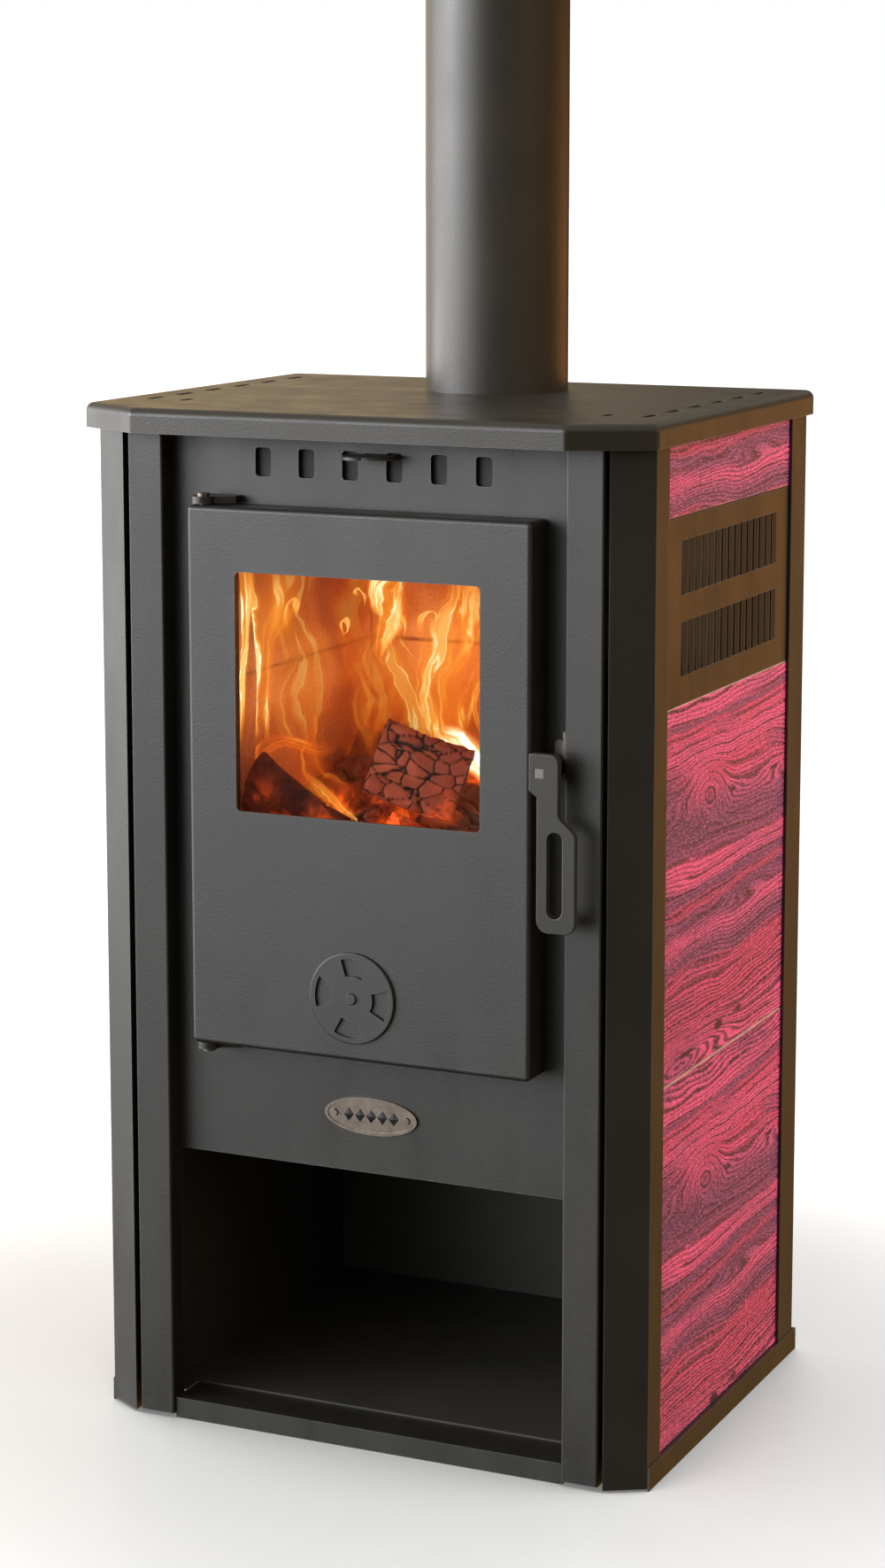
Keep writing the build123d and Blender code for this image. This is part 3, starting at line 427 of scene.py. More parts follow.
def black_enamel(name):
    """Glossy black enamel with a slightly uneven surface."""
    s = Shader(name)
    ripple = s.noise(s.place, 300.0, 3.0, 0.6)
    base = s.mix(s.remap(ripple, 0.4, 0.7), (0.010, 0.010, 0.010), (0.022, 0.021, 0.020))
    s.set(Base_Color=base, Roughness=s.remap(ripple, 0.3, 0.7, 0.22, 0.34),
          Normal=s.bump(ripple, 0.05 * MM, 0.6))
    return s.material


CHAR, CRACK_BLACK = (0.022, 0.008, 0.006), (0.012, 0.004, 0.003)
BROWN_WOOD, TAN_WOOD = (0.60, 0.130, 0.056), (0.34, 0.062, 0.028)
EMBER_FROM, EMBER_FULL = 568 * MM, 480 * MM     # heights between which the logs start to glow


def charred_wood(name, glow_strength, fresh):
    """Burnt split wood. The mesh's "crack" attribute is 1 in the gaps between the charred blocks and on
    the burnt ends, "tone" differs from block to block, and fresh is how brown the blocks still are."""
    s = Shader(name)
    depth, tone = s.attribute("crack"), s.attribute("tone")
    _, _, z = s.axes(s.place)
    patches = s.noise(s.place, 30.0, 4.0, 0.6)
    fine = s.noise(s.place, 420.0, 4.0, 0.7)
    brown = tuple(c * fresh + k * (1 - fresh) for c, k in zip(BROWN_WOOD, CHAR))
    tan = tuple(c * fresh + k * (1 - fresh) for c, k in zip(TAN_WOOD, CHAR))
    block = s.mix(s.math("MULTIPLY", s.remap(patches, 0.30, 0.60, 0.4, 1.0), tone), tan, brown)
    block = s.mix(s.remap(fine, 0.50, 0.80, 0.0, 0.30), block, CHAR)
    base = s.mix(s.remap(depth, 0.25, 0.80), block, CRACK_BLACK)
    heat = s.math("MULTIPLY", s.remap(z, EMBER_FROM, EMBER_FULL), s.remap(patches, 0.38, 0.64))
    ember = s.ramp(heat, ((0.0, (0.0, 0.0, 0.0)), (0.30, (0.10, 0.008, 0.001)),
                          (0.60, (0.75, 0.08, 0.006)), (1.0, (1.0, 0.30, 0.03))))
    s.set(Base_Color=base, Roughness=0.85, Emission_Color=ember, Emission_Strength=glow_strength,
          Normal=s.bump(fine, 0.4 * MM, 1.0))
    return s.material


def ember_bed_material(name):
    """Grey ash over glowing lumps."""
    s = Shader(name)
    lumps = s.voronoi(s.place, 75.0)
    ash = s.noise(s.place, 60.0, 5.0, 0.65)
    base = s.mix(s.remap(ash, 0.4, 0.65), (0.03, 0.025, 0.022), (0.30, 0.28, 0.26))
    heat = s.math("MULTIPLY", s.remap(lumps, 0.75, 0.15), s.remap(ash, 0.35, 0.60))
    glow = s.ramp(heat, ((0.0, (0.02, 0.001, 0.0)), (0.35, (0.55, 0.04, 0.004)),
                         (0.7, (1.0, 0.25, 0.03)), (1.0, (1.0, 0.60, 0.18))))
    s.set(Base_Color=base, Roughness=0.95, Emission_Color=glow, Emission_Strength=2.0,
          Normal=s.bump(ash, 1.0 * MM, 1.0))
    return s.material


def flame_material(name, hue, strength, thickness, seed):
    """A thin veil of flame with brighter lines where it folds along its two sides."""
    s = Shader(name)
    across, up, _ = s.axes(s.uv)
    waver = s.noise(s.mapped(s.uv, (1.2, 2.6, 1.0), move=(seed, seed * 1.7, 0.0)), 1.0, 3.0, 0.55)
    bent = s.math("ADD", across, s.remap(waver, 0.25, 0.75, -0.20, 0.20))
    off = s.math("ABSOLUTE", s.math("SUBTRACT", bent, 0.5))
    streaks = s.noise(s.mapped(s.vector(bent, up, seed), (3.4, 1.1, 1.0)), 1.0, 2.0, 0.5, 0.5)
    fold = s.remap(s.math("ABSOLUTE", s.math("SUBTRACT", off, 0.33)), 0.0, 0.07, 1.0, 0.0, smooth=True)
    inner = s.remap(s.math("ABSOLUTE", s.math("SUBTRACT", streaks, 0.54)), 0.0, 0.05, 0.8, 0.0, smooth=True)
    line = s.math("MAXIMUM", s.math("MULTIPLY", fold, s.remap(streaks, 0.46, 0.66, 0.0, 0.8)), inner)
    side = s.math("MULTIPLY", s.remap(across, 0.0, 0.30, smooth=True),
                  s.remap(across, 1.0, 0.70, smooth=True))
    ends = s.math("MULTIPLY", s.remap(up, 0.0, 0.22, smooth=True), s.remap(up, 1.0, 0.70, smooth=True))
    body = s.remap(streaks, 0.34, 0.62, thickness * 0.35, thickness, smooth=True)
    solid = s.math("MULTIPLY", s.math("ADD", body, s.math("MULTIPLY", line, 0.30), clamp=True),
                   s.math("MULTIPLY", side, ends))
    heat = s.math("ADD", s.math("MULTIPLY", solid, 0.75), s.math("MULTIPLY", line, 0.30), clamp=True)
    colour = s.ramp(heat, hue)
    s.set(Base_Color=(0.0, 0.0, 0.0, 1.0), Roughness=1.0, Specular_IOR_Level=0.0,
          Emission_Color=colour, Emission_Strength=strength, Alpha=solid)
    return s.material


# The paler edge colour is partly bare worn paint and partly painted highlight.
ANTHRACITE, WORN_SHEEN_EDGE = (0.0165, 0.0157, 0.0142), (0.11, 0.108, 0.104)
brick_corner = (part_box("left_firebrick")[1].x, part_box("back_firebricks")[0].y)
louvre_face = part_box("right_louvre_panel")[1].x
materials = {
    "casing": paint("casing_paint", ANTHRACITE, roughness=0.42, grain=1.0, sheen_wear_colour=WORN_SHEEN_EDGE,
                    gloss=0.66),
    "door": paint("door_paint", (0.0185, 0.0185, 0.0178), roughness=0.43, grain=1.2, sheen_wear_colour=WORN_SHEEN_EDGE,
                  gloss=0.72),
    "plate": paint("plate_paint", (0.0240, 0.0212, 0.0172), roughness=0.36, grain=1.4,
                   sheen_wear_colour=(0.15, 0.135, 0.12), gloss=0.60),
    "handle": paint("handle_paint", (0.0230, 0.0225, 0.0205), roughness=0.42, grain=0.8,
                    sheen_wear_colour=(0.20, 0.19, 0.18)),
    "inner": paint("inner_paint", (0.040, 0.038, 0.034), roughness=0.50, grain=1.0),
    "louvre": paint("louvre_paint", (0.0215, 0.0165, 0.0130), roughness=0.42, grain=1.0,
                    sheen_wear_colour=WORN_SHEEN_EDGE, gloss=0.85, face=louvre_face),
    # Painted shade: near-black paint on the slide plate behind the air slots makes the slots read as dark.
    "slot_shade": paint("sooted_paint", (0.010, 0.0105, 0.009), roughness=0.62, grain=1.0),
    "flue": paint("flue_paint", (0.044, 0.041, 0.036), roughness=0.28, grain=0.6),
    "steel": steel("mill_steel", (0.20, 0.19, 0.18)),
    "galvanised": steel("galvanised_sheet", (0.42, 0.42, 0.42), roughness=0.34),
    "iron": cast_iron("cast_iron"),
    "brick": firebrick("firebrick", brick_corner),
    "rope": rope_fibre("rope_fibre"),
    "glass": fire_glass("fire_glass"),
    "badge": nickel_badge("nickel_badge"),
}

node_looks = {
    "casing": ("left_corner_post right_corner_post left_front_strip right_front_strip left_rear_post "
               "right_rear_post left_plinth_rail right_plinth_rail front_sill rear_rail front_plate "
               "hinge_brackets handle_boss"),
    "door": "door_shell air_rosette rosette_rivet",
    "plate": "top_plate",
    "handle": "door_handle air_slide_lever",
    "inner": "log_floor left_inner_side right_inner_side log_store_ceiling back_panel door_liner",
    "louvre": "left_louvre_panel right_louvre_panel",
    "slot_shade": "air_slide_plate",
    "flue": "flue_pipe",
    "steel": ("flue_collar firebox_shell ash_shelf hinge_pins hinge_bushes door_catch air_slide_guides "
              "clip_screws casing_screws handle_shaft latch_cam"),
    "galvanised": "ash_pan glass_clips",
    "iron": "grate log_retainer",
    "brick": "left_firebrick right_firebrick back_firebricks baffle_plate",
    "rope": "glass_gasket door_rope_seal",
    "glass": "door_glass",
    "badge": "badge badge_rivets",
}


def dress(node, material):
    """Give a CAD node its material."""
    node.data.materials.clear()
    node.data.materials.append(material)


for look, names in node_looks.items():
    for name in names.split():
        dress(nodes[name], materials[look])

# How far above each tile's own top its print begins. The upper tiles are cut down from full ones.
PRINT_DROPS = (("lower", -18 * MM), ("middle", 0.0), ("upper", 145 * MM))
for side in ("left", "right"):
    for level, drop in PRINT_DROPS:
        name = f"{side}_{level}_tile"
        low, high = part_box(name)
        start = low.y if side == "right" else high.y
        look = glazed_wood_print(f"{name}_print", start, low.z, high.z, drop, side == "left")
        dress(nodes[name], look)


# ------------------------------------------------------------------ mesh helpers
def piece(name, mesh, material, body="root", smooth=True):
    """A new object in the scene, riding on a body."""
    obj = bpy.data.objects.new(name, mesh)
    bpy.context.scene.collection.objects.link(obj)
    mesh.materials.append(material)
    if smooth:
        mesh.polygons.foreach_set("use_smooth", [True] * len(mesh.polygons))
    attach(obj, body)
    return obj


def grid_mesh(name, across, up, point):
    """A sheet of across x up quads through point(u, v), with u and v as its UV map."""
    mesh = bpy.data.meshes.new(name)
    verts = [point(i / across, j / up) for j in range(up + 1) for i in range(across + 1)]
    row = across + 1
    faces = [
        (j * row + i, j * row + i + 1, (j + 1) * row + i + 1, (j + 1) * row + i)
        for j in range(up) for i in range(across)
    ]
    mesh.from_pydata(verts, [], faces)
    layer = mesh.uv_layers.new(name="UVMap")
    for loop in mesh.loops:
        j, i = divmod(loop.vertex_index, row)
        layer.data[loop.index].uv = (i / across, j / up)
    return mesh


# ------------------------------------------------------------------ badge ornament
BADGE_RIM = 0.9 * MM        # how far the badge's face lies behind its rim


def lozenge_row(name, count, width, height, pitch, proud):
    """A row of faceted lozenges across the middle of the badge, in place of any lettering."""
    low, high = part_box("badge")
    middle = (low + high) / 2
    face = low.y + BADGE_RIM
    mesh = bpy.data.meshes.new(name)
    shape = bmesh.new()
    outline = ((width / 2, 0), (0, height / 2), (-width / 2, 0), (0, -height / 2))
    for i in range(count):
        x = middle.x + (i - (count - 1) / 2) * pitch

        def corners(share, lift):
            y = face - lift
            return [shape.verts.new((x + dx * share, y, middle.z + dz * share)) for dx, dz in outline]

        base = corners(1.0, 0.0)
        rim = corners(0.92, proud * 0.5)
        peak = shape.verts.new((x, face - proud, middle.z))
        shape.faces.new(base)
        for k in range(4):
            shape.faces.new((base[k], rim[k], rim[(k + 1) % 4], base[(k + 1) % 4]))
            shape.faces.new((rim[k], peak, rim[(k + 1) % 4]))
    bmesh.ops.recalc_face_normals(shape, faces=shape.faces)
    shape.to_mesh(mesh)
    shape.free()
    obj = piece(name, mesh, black_enamel("badge_enamel"), smooth=False)


lozenge_row("badge_ornament", count=5, width=9.5 * MM, height=11.5 * MM, pitch=10.0 * MM, proud=0.8 * MM)

# ------------------------------------------------------------------ burning logs
LOG_RINGS, LOG_SPOKES, LOG_CAPS = 130, 128, 10  # along the log, around it, and across each end
CRACK_WIDTH = 0.125                             # of a block's size
BLOCK_STRETCH = 0.70                            # blocks are longer along the log by the inverse of this
WEDGE = 0.22                                    # how far a log's section is from round
CRACK_DEPTH, WOBBLE = 2.0 * MM, 1.4 * MM        # of the gaps between blocks, and of their lines
SPLINTERS, TORN_END = 0.8 * MM, 2.2 * MM        # roughness of the sides and of the ends


def charred_block(point, size):
    """How far into the gap between two charred blocks a point is, 0 to 1, and its block's own tone."""
    distances, centres = noise.voronoi(point / size)
    crack = max(0.0, 1.0 - (distances[1] - distances[0]) / CRACK_WIDTH)
    return crack, noise.cell(centres[0] * 9.0)


def split_log(name, start, end, radius, turn, seed, block, glow, fresh):
    """A split log: a rounded wedge with charred blocks, torn ends and a slight bow."""
    rng = random.Random(seed)
    axis = end - start
    length = axis.length
    axis.normalize()
    side = axis.cross(UP).normalized()
    top = side.cross(axis)
    lobes = [(rng.uniform(0.05, 0.12), rng.uniform(0, math.tau), k) for k in (2, 3, 5)]
    bow = rng.uniform(-0.05, 0.05) * length

    def section(angle):
        wedge = 1.0 / (1.0 + WEDGE * math.cos(3 * (angle - turn)))
        return wedge * (1 + sum(a * math.cos(k * angle + p) for a, p, k in lobes))

    verts, depths, tones = [], [], []
    total = LOG_RINGS + 2 * LOG_CAPS
    for ring in range(total + 1):
        share = min(1.0, max(0.0, (ring - LOG_CAPS) / LOG_RINGS))
        shrink = min(1.0, ring / LOG_CAPS, (total - ring) / LOG_CAPS)
        centre = start + axis * (length * share) + top * (bow * math.sin(math.pi * share))
        for spoke in range(LOG_SPOKES):
            angle = math.tau * spoke / LOG_SPOKES
            out = side * math.cos(angle) + top * math.sin(angle)
            reach = radius * section(angle) * max(shrink, 0.02)
            spot = centre + out * reach
            wobble = Vector((noise.noise(spot * 90), noise.noise(spot * 90 + UP * 9), 0)) * WOBBLE
            along = length * share * BLOCK_STRETCH
            key = Vector((along, math.cos(angle) * reach, math.sin(angle) * reach)) + wobble
            key += Vector((seed, 0, 0))
            depth, tone = charred_block(key, block)
            rough = noise.fractal(spot * 90, 0.7, 2.1, 4) * SPLINTERS
            inward = CRACK_DEPTH * depth ** 1.2 if shrink == 1.0 else 0.0
            spot = spot - out * (inward - rough)
            if shrink < 1.0:
                spot += axis * (noise.noise(spot * 160 + Vector((seed, 3, 1))) * TORN_END)
                depth = 1.0
            verts.append(spot)
            depths.append(depth)
            tones.append(tone)
    faces = [
        (r * LOG_SPOKES + c, r * LOG_SPOKES + (c + 1) % LOG_SPOKES,
         (r + 1) * LOG_SPOKES + (c + 1) % LOG_SPOKES, (r + 1) * LOG_SPOKES + c)
        for r in range(total) for c in range(LOG_SPOKES)
    ]
    faces.append(tuple(range(LOG_SPOKES))[::-1])
    faces.append(tuple(total * LOG_SPOKES + c for c in range(LOG_SPOKES)))
    mesh = bpy.data.meshes.new(name)
    mesh.from_pydata(verts, [], faces)
    for label, values in (("crack", depths), ("tone", tones)):
        attribute = mesh.attributes.new(label, "FLOAT", "POINT")
        attribute.data.foreach_set("value", values)
    obj = piece(name, mesh, charred_wood(f"{name}_char", glow, fresh))
    return obj


grate_low, grate_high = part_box("grate")
hearth_z = grate_high.z


def hearth(x, y, z):
    """A point of the fire in millimetres: across, into the stove, above the grate."""
    return Vector((x * MM, y * MM, hearth_z + z * MM))


# Each log: its name, both ends, radius, turn of the wedge, seed, block size, glow, and how brown it is.
LOGS = (
    ("log_top", (-22, -98, 108), (45, -76, 84), 24, 0.5, 11, 11, 0.6, 0.95),
    ("log_front", (-134, -98, 74), (-24, -110, 18), 27, 0.4, 3, 14, 0.6, 0.12),
    ("log_back", (-112, 40, 60), (100, 50, 52), 34, 1.3, 7, 16, 1.0, 0.12),
    ("log_lean", (-118, -30, 40), (-86, 88, 72), 27, 2.0, 19, 15, 1.0, 0.12),
    ("log_small", (-28, -112, 48), (-14, -50, 62), 16, 0.2, 23, 9, 0.6, 0.6),
    ("log_right", (48, -104, 34), (70, 20, 50), 32, 1.1, 31, 14, 0.3, 0.12),
    ("log_ember", (-4, -116, 56), (26, -110, 42), 12, 0.3, 41, 8, 3.2, 0.4))
logs = [
    split_log(name, hearth(*start), hearth(*end), radius * MM, turn, seed, block * MM, glow, fresh)
    for name, start, end, radius, turn, seed, block, glow, fresh in LOGS
]
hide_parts("fire_logs")


BED_GRID = 90                                   # squares along each side of the ember bed
BED_LOW, BED_RISE = 16 * MM, 74 * MM            # its height in front, and how much more behind
BED_GAP, BED_FRONT = 2 * MM, 26 * MM            # gap to the bricks, and how far it starts inside the grate


def ember_bed():
    """Lumpy embers and ash over the grate, between the bricks, heaped towards the back."""
    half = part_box("right_firebrick")[0].x - BED_GAP
    front, back = grate_low.y + BED_FRONT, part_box("back_firebricks")[0].y - BED_GAP

    def point(u, v):
        x, y = -half + 2 * half * u, front + (back - front) * v
        rim = min(1.0, min(u, 1 - u, v, 1 - v) * 8)
        heap = BED_LOW + BED_RISE * min(1.0, max(0.0, (v - 0.25) / 0.6))
        lump = noise.fractal(Vector((x, y, 0)) * 34, 0.8, 2.1, 4)
        blocks = noise.voronoi(Vector((x, y, 0.1)) * 62)[0][0]
        z = 0.5 * MM + heap * rim * (0.55 + 0.3 * lump) + 5 * MM * (0.6 - blocks) * rim
        return Vector((x, y, hearth_z + z))

    mesh = grid_mesh("ember_bed", BED_GRID, BED_GRID, point)
    bed = piece("ember_bed", mesh, ember_bed_material("ember_glow"))


ember_bed()

# ------------------------------------------------------------------ flames
# Flame colours from thin to thick.
DEEP = (
    (0.0, (0.80, 0.07, 0.002)), (0.45, (1.0, 0.19, 0.008)),
    (0.8, (1.0, 0.42, 0.06)), (1.0, (1.0, 0.72, 0.30)))
BRIGHT = (
    (0.0, (0.95, 0.15, 0.006)), (0.35, (1.0, 0.34, 0.03)),
    (0.7, (1.0, 0.60, 0.17)), (1.0, (1.0, 0.88, 0.55)))
WHITE_HOT = (
    (0.0, (1.0, 0.22, 0.02)), (0.3, (1.0, 0.60, 0.22)),
    (0.6, (1.0, 0.88, 0.62)), (1.0, (1.0, 0.97, 0.9)))
FLAME_GRID = (14, 72)       # squares across a flame and along it
FLAME_STEP = 0.02           # share of a flame's length either side, to find its direction
FLAME_SWAY = 7              # millimetres that a flame waves towards the door and back


def smooth_path(points, share):
    """A Catmull-Rom curve through tuples of numbers."""
    spans = len(points) - 1
    place = min(share * spans, spans - 1e-6)
    i = int(place)
    t = place - i
    p = [Vector(points[max(0, min(spans, k))]) for k in (i - 1, i, i + 1, i + 2)]
    return 0.5 * ((2 * p[1]) + (p[2] - p[0]) * t + (2 * p[0] - 5 * p[1] + 4 * p[2] - p[3]) * t ** 2
                  + (3 * p[1] - p[0] - 3 * p[2] + p[3]) * t ** 3)


def flame(name, hue, strength, thickness, depth, points):
    """A tongue of flame along points (x, z, width) in millimetres, from its root to its tip."""
    seed = sum(ord(letter) for letter in name)

    def point(u, v):
        here = smooth_path(points, v)
        ahead = smooth_path(points, min(1.0, v + FLAME_STEP))
        behind = smooth_path(points, max(0.0, v - FLAME_STEP))
        along = Vector((ahead.x - behind.x, ahead.y - behind.y)).normalized()
        reach = (u - 0.5) * max(here.z, 0.5)
        x, z = here.x + along.y * reach, here.y - along.x * reach
        y = depth + FLAME_SWAY * math.sin(seed + 2.6 * u + 5.0 * v)
        return Vector((x, y, z)) * MM

    sheet = grid_mesh(name, *FLAME_GRID, point)
    obj = piece(name, sheet, flame_material(f"{name}_fire", hue, strength, thickness, seed * 0.37))
    obj.visible_shadow = False


# Each flame: its name, colours, strength, thickness, depth and points (x, z, width) in millimetres.
# Roots are among the logs, and the tips end under the baffle plate.
FLAMES = (
    ("flame_edge", BRIGHT, 1.25, 0.85, -102, (
        (-128, 560, 20), (-127, 590, 24), (-124, 620, 30), (-120, 650, 42), (-114, 684, 62),
        (-112, 738, 56))),
    ("flame_rim", BRIGHT, 1.3, 0.85, -128, (
        (-131, 560, 8), (-131, 596, 10), (-130, 628, 12), (-128, 660, 18), (-125, 696, 28),
        (-124, 738, 30))),
    ("flame_left", BRIGHT, 0.85, 0.28, -70, (
        (-92, 540, 40), (-104, 585, 62), (-96, 630, 56), (-110, 668, 50), (-104, 704, 40),
        (-112, 736, 26))),
    ("flame_left_back", DEEP, 0.55, 0.36, 20, (
        (-70, 520, 60), (-84, 570, 92), (-66, 620, 84), (-92, 664, 66), (-78, 704, 52),
        (-96, 734, 34))),
    ("flame_middle", DEEP, 0.75, 0.34, -30, (
        (-60, 540, 50), (-46, 590, 66), (-64, 632, 60), (-44, 676, 52), (-60, 710, 40),
        (-52, 736, 26))),
    ("flame_sweep", BRIGHT, 0.95, 0.55, -72, (
        (22, 566, 14), (12, 580, 34), (0, 600, 50), (-12, 624, 54), (-20, 648, 40), (-28, 668, 22))),
    ("flame_crest", BRIGHT, 1.3, 0.78, -80, (
        (-30, 632, 10), (-24, 652, 22), (-15, 672, 34), (-20, 694, 40), (-14, 716, 34),
        (-20, 738, 26))),
    ("flame_tall", BRIGHT, 1.2, 0.72, -76, (
        (36, 562, 16), (31, 584, 38), (25, 608, 52), (27, 634, 58), (36, 660, 60), (46, 690, 46),
        (44, 738, 36))),
    ("flame_right", BRIGHT, 1.15, 0.46, -66, (
        (42, 560, 12), (36, 586, 24), (40, 614, 34), (52, 642, 46), (60, 668, 52), (58, 700, 44),
        (60, 736, 30))),
    ("flame_right_back", DEEP, 0.95, 0.55, 10, (
        (30, 540, 60), (14, 590, 86), (30, 640, 80), (12, 690, 60), (26, 734, 40))),
    ("flame_low_left", DEEP, 1.1, 0.34, -92, (
        (-64, 506, 16), (-90, 520, 22), (-118, 540, 24), (-124, 556, 22), (-106, 566, 22),
        (-78, 560, 20), (-52, 572, 14))),
    ("flame_low_middle", DEEP, 0.9, 0.36, -84, (
        (-44, 506, 26), (-62, 522, 34), (-84, 534, 36), (-96, 556, 30), (-88, 580, 22),
        (-96, 600, 12))),
    ("flame_log_edge", BRIGHT, 1.1, 0.45, -108, (
        (-8, 492, 10), (-24, 503, 14), (-46, 514, 16), (-70, 530, 14), (-90, 544, 10))),
    ("flame_hot", WHITE_HOT, 3.0, 1.0, -62, (
        (62, 496, 10), (63, 520, 14), (60, 544, 24), (48, 560, 34), (30, 570, 28), (12, 578, 14))))
for row in FLAMES:
    flame(*row)


CURL_STEPS = 9              # points round a curl


def curl(name, x, z, size, turns, hand, depth):
    """A small flame tip rolled into an open hook, clockwise where hand is 1."""
    points = [
        (x - hand * size * 0.5, z - size * 2.6, size * 0.9),
        (x - hand * size * 0.9, z - size, size * 0.8),
    ]
    for i in range(CURL_STEPS):
        share = i / (CURL_STEPS - 1)
        angle = math.pi - math.tau * turns * share
        reach = size * (1 - 0.60 * share)
        points.append((x + hand * math.cos(angle) * reach, z + math.sin(angle) * reach * 1.4,
                       size * (0.62 - 0.05 * i)))
    flame(name, BRIGHT, 1.3, 0.6, depth, points)


# Each curl: middle x and z, size, turns and hand.
CURLS = (
    (-92, 674, 9, 0.62, 1), (-46, 664, 6, 0.85, 1), (-36, 690, 6, 0.60, -1), (0, 668, 6, 0.80, -1),
    (24, 672, 7, 0.70, 1))
for number, row in enumerate(CURLS):
    curl(f"flame_curl_{number}", *row, depth=-104 + 3 * number)

# ------------------------------------------------------------------ stage, lights and camera
FLOOR_HALF = 40.0
SHADE_REACH = 0.55          # how far from the stove its soft shade falls on the floor
FLOOR_GLOW = (
    (0.0, (0.16,) * 3), (0.30, (0.58,) * 3), (0.82, (0.62,) * 3), (1.0, (1.0,) * 3))


def plain_floor():
    """A white floor with a soft shade under and around the stove."""
    mesh = bpy.data.meshes.new("floor")
    corners = [(x * FLOOR_HALF, y * FLOOR_HALF, 0) for x, y in ((-1, -1), (1, -1), (1, 1), (-1, 1))]
    mesh.from_pydata(corners, [], [(0, 1, 2, 3)])
    floor = bpy.data.objects.new("floor", mesh)
    bpy.context.scene.collection.objects.link(floor)
    s = Shader("floor_white")
    shade = s.add("AmbientOcclusion")
    shade.samples = 12
    shade.inputs["Distance"].default_value = SHADE_REACH
    openness = s.remap(shade.outputs["AO"], 0.42, 1.0)
    pale = s.mix(openness, (0.20, 0.20, 0.20), (0.30, 0.30, 0.30))
    s.set(Base_Color=pale, Roughness=0.35, Specular_IOR_Level=0.20,
          Emission_Color=s.ramp(openness, FLOOR_GLOW), Emission_Strength=1.0)
    mesh.materials.append(s.material)
    floor.visible_diffuse = False
    floor.visible_glossy = False
    return floor


def add_lamp(name, kind, place, power, colour):
    """A new lamp in the scene, power in watts."""
    light = bpy.data.lights.new(name, kind)
    light.energy = power
    light.color = colour
    lamp = bpy.data.objects.new(name, light)
    bpy.context.scene.collection.objects.link(lamp)
    lamp.location = place
    return lamp


def softbox(name, place, target, size, power, colour):
    """A rectangular lamp that faces a target."""
    lamp = add_lamp(name, "AREA", place, power, colour)
    lamp.data.shape = "RECTANGLE"
    lamp.data.size, lamp.data.size_y = size
    lamp.rotation_mode = "QUATERNION"
    lamp.rotation_quaternion = (Vector(target) - Vector(place)).to_track_quat("-Z", "Y")
    return lamp


FIRELIGHT = (1.0, 0.42, 0.12)


def fire_lamp(name, place, power, size):
    """Firelight that isn't seen itself, only what it lights."""
    lamp = add_lamp(name, "POINT", place, power, FIRELIGHT)
    lamp.data.shadow_soft_size = size
    lamp.visible_camera = False
    lamp.visible_transmission = False
    lamp.visible_glossy = False


# Light from each direction. Each row is an azimuth (0 is the front, negative to the stove's left, 180
# behind) and the colours there from above the horizon, from just below it and from near the floor.
STUDIO = (
    (-180, (0.12, 0.075, 0.040), (0.12, 0.080, 0.045), (0.03, 0.020, 0.010)),
    (-160, (0.03, 0.012, 0.002), (0.10, 0.070, 0.040), (0.03, 0.020, 0.010)),
    (-153, (0.90, 0.66, 0.38), (0.50, 0.40, 0.30), (0.05, 0.040, 0.030)),
    (-145, (1.02, 0.62, 0.20), (0.90, 0.65, 0.38), (0.08, 0.070, 0.050)),
    (-110, (1.40, 1.30, 1.20), (1.40, 1.30, 1.20), (0.10, 0.10, 0.09)),
    (-84, (4.2, 4.2, 4.1), (7.3, 7.3, 7.2), (0.10, 0.10, 0.08)),
    (-58, (12.6, 12.7, 13.1), (5.2, 5.2, 5.1), (0.03, 0.03, 0.02)),
    (-37, (9.0, 9.1, 9.5), (3.0, 3.0, 2.9), (0.02, 0.02, 0.01)),
    (-6, (0.90, 0.94, 0.92), (0.75, 0.75, 0.72), (0.02, 0.02, 0.02)),
    (12, (0.06, 0.07, 0.06), (0.16, 0.16, 0.14), (0.03, 0.03, 0.02)),
    (30, (0.06, 0.06, 0.05), (0.08, 0.07, 0.05), (0.08, 0.06, 0.03)),
    (46, (0.16, 0.12, 0.08), (0.20, 0.14, 0.09), (0.20, 0.14, 0.07)),
    (70, (0.80, 0.54, 0.36), (0.30, 0.20, 0.11), (0.12, 0.07, 0.02)),
    (112, (0.50, 0.30, 0.14), (0.36, 0.17, 0.05), (0.17, 0.07, 0.02)),
    (150, (0.10, 0.065, 0.045), (1.40, 0.58, 0.15), (0.52, 0.25, 0.05)),
    (180, (0.12, 0.075, 0.040), (0.25, 0.10, 0.04), (0.10, 0.05, 0.010)))
TOP_LIGHT = (0.62, 0.58, 0.49)


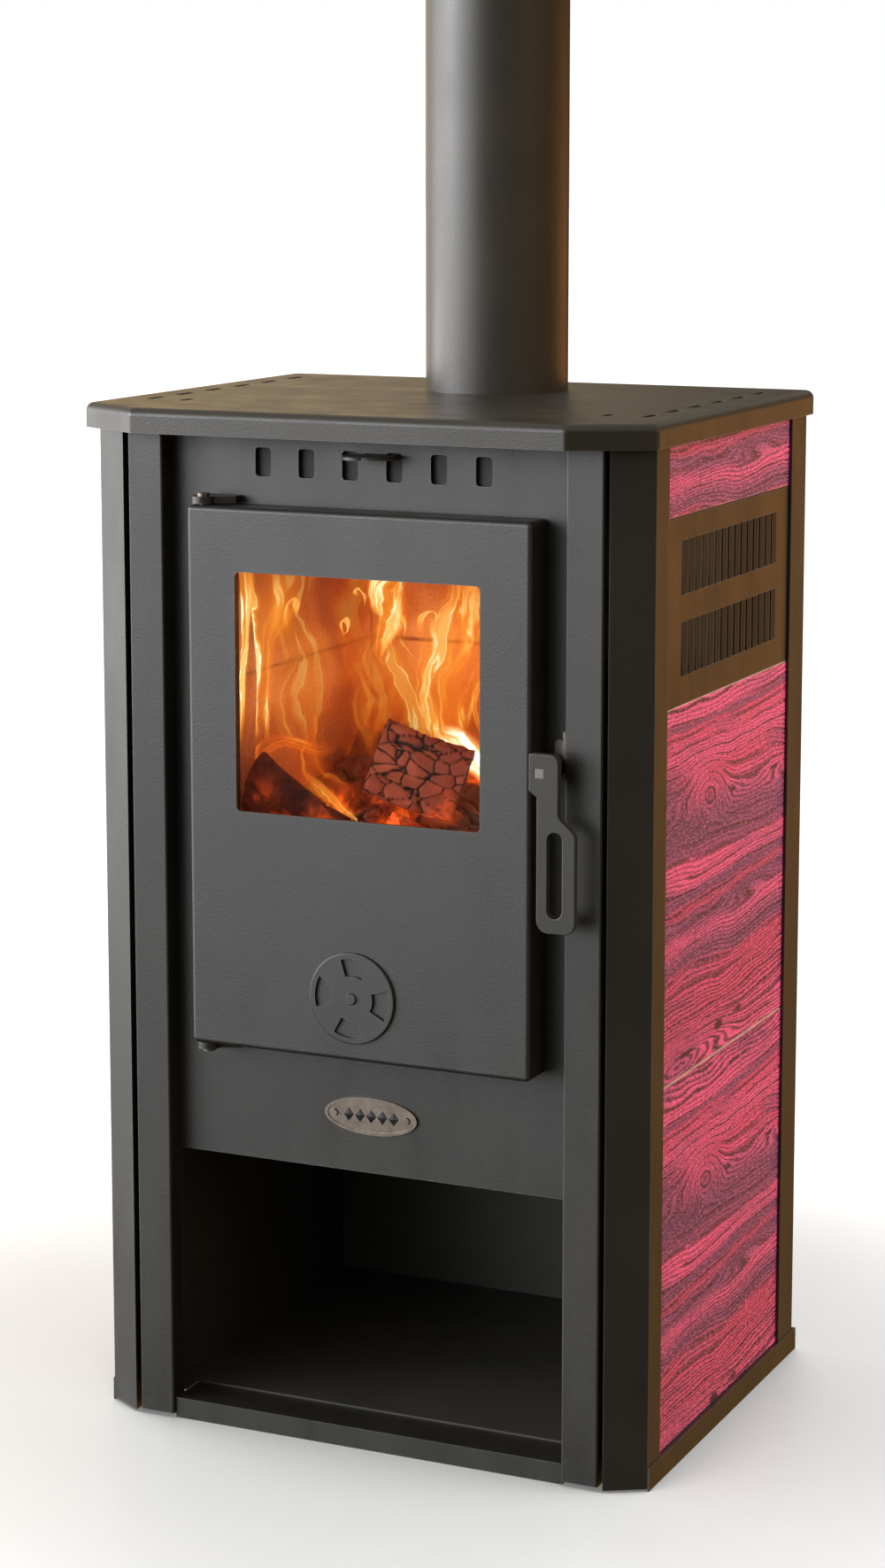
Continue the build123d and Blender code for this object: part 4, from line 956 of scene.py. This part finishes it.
def studio_wrap():
    """A soft studio all round: bright at the front left, dim at the front right, warm at the right and
    behind, and plain white where the camera sees past the stove."""
    world = bpy.data.worlds.new("studio")
    bpy.context.scene.world = world
    world.use_nodes = True
    s = Nodes(world.node_tree)
    output, background = s.add("OutputWorld"), s.add("Background")
    s.link(background.outputs[0], output.inputs["Surface"])
    x, y, z = s.axes(s.add("TexCoord").outputs["Generated"])
    turn = s.remap(s.math("ARCTAN2", x, s.math("MULTIPLY", y, -1.0)), -math.pi, math.pi)

    def around(column):
        """The studio's colours all round, from one column of the table."""
        return s.ramp(turn, [((row[0] + 180) / 360, row[column]) for row in STUDIO])

    lit = s.mix(s.remap(z, -0.31, -0.04, smooth=True), around(3), around(2))
    lit = s.mix(s.remap(z, -0.04, 0.06, smooth=True), lit, around(1))
    lit = s.mix(s.remap(z, 0.20, 0.52, smooth=True), lit, TOP_LIGHT)
    seen = s.add("LightPath").outputs["Is Camera Ray"]
    s.link(s.mix(seen, lit, (1.0, 1.0, 1.0)), background.inputs["Color"])
    background.inputs["Strength"].default_value = 1.0


floor = plain_floor()
studio_wrap()
softbox("key_left", place=(-2.3, -1.6, 1.7), target=(0, 0, 0.95), size=(0.9, 1.1), power=8,
        colour=(1.0, 1.0, 0.99))
side_light = softbox("side_right", place=(2.3, 1.5, 1.3), target=(0.2, 0, 0.5), size=(1.2, 1.6), power=92,
                     colour=(1.0, 0.85, 0.72))
side_light.visible_glossy = False
# The side light leaves out the floor and the pipe, which the studio lights well enough.
unlit = bpy.data.collections.new("without_side_light")
for obj in (floor, nodes["flue_pipe"]):
    unlit.objects.link(obj)
side_light.light_linking.receiver_collection = unlit
for member in unlit.collection_objects:
    member.light_linking.link_state = "EXCLUDE"
fire_lamp("fire_light", hearth(0, -20, 120), power=0.25, size=0.05)
fire_lamp("ember_light", hearth(20, -60, 40), power=0.2, size=0.04)

# The camera stands to the right of the stove's front and above its plate.
YAW, PITCH = math.radians(24.6), math.radians(-9.0)
camera_data = bpy.data.cameras.new("camera")
camera_data.sensor_width = 36.0
camera_data.lens = 78.9
camera_data.shift_y = -0.071
camera = bpy.data.objects.new("camera", camera_data)
bpy.context.scene.collection.objects.link(camera)
camera.location = (1.1657, -2.5615, 1.0613)
forward = Vector((-math.sin(YAW) * math.cos(PITCH), math.cos(YAW) * math.cos(PITCH), math.sin(PITCH)))
camera.rotation_mode = "QUATERNION"
camera.rotation_quaternion = forward.to_track_quat("-Z", "Y")
bpy.context.scene.camera = camera
bpy.context.scene.view_settings.view_transform = "Standard"
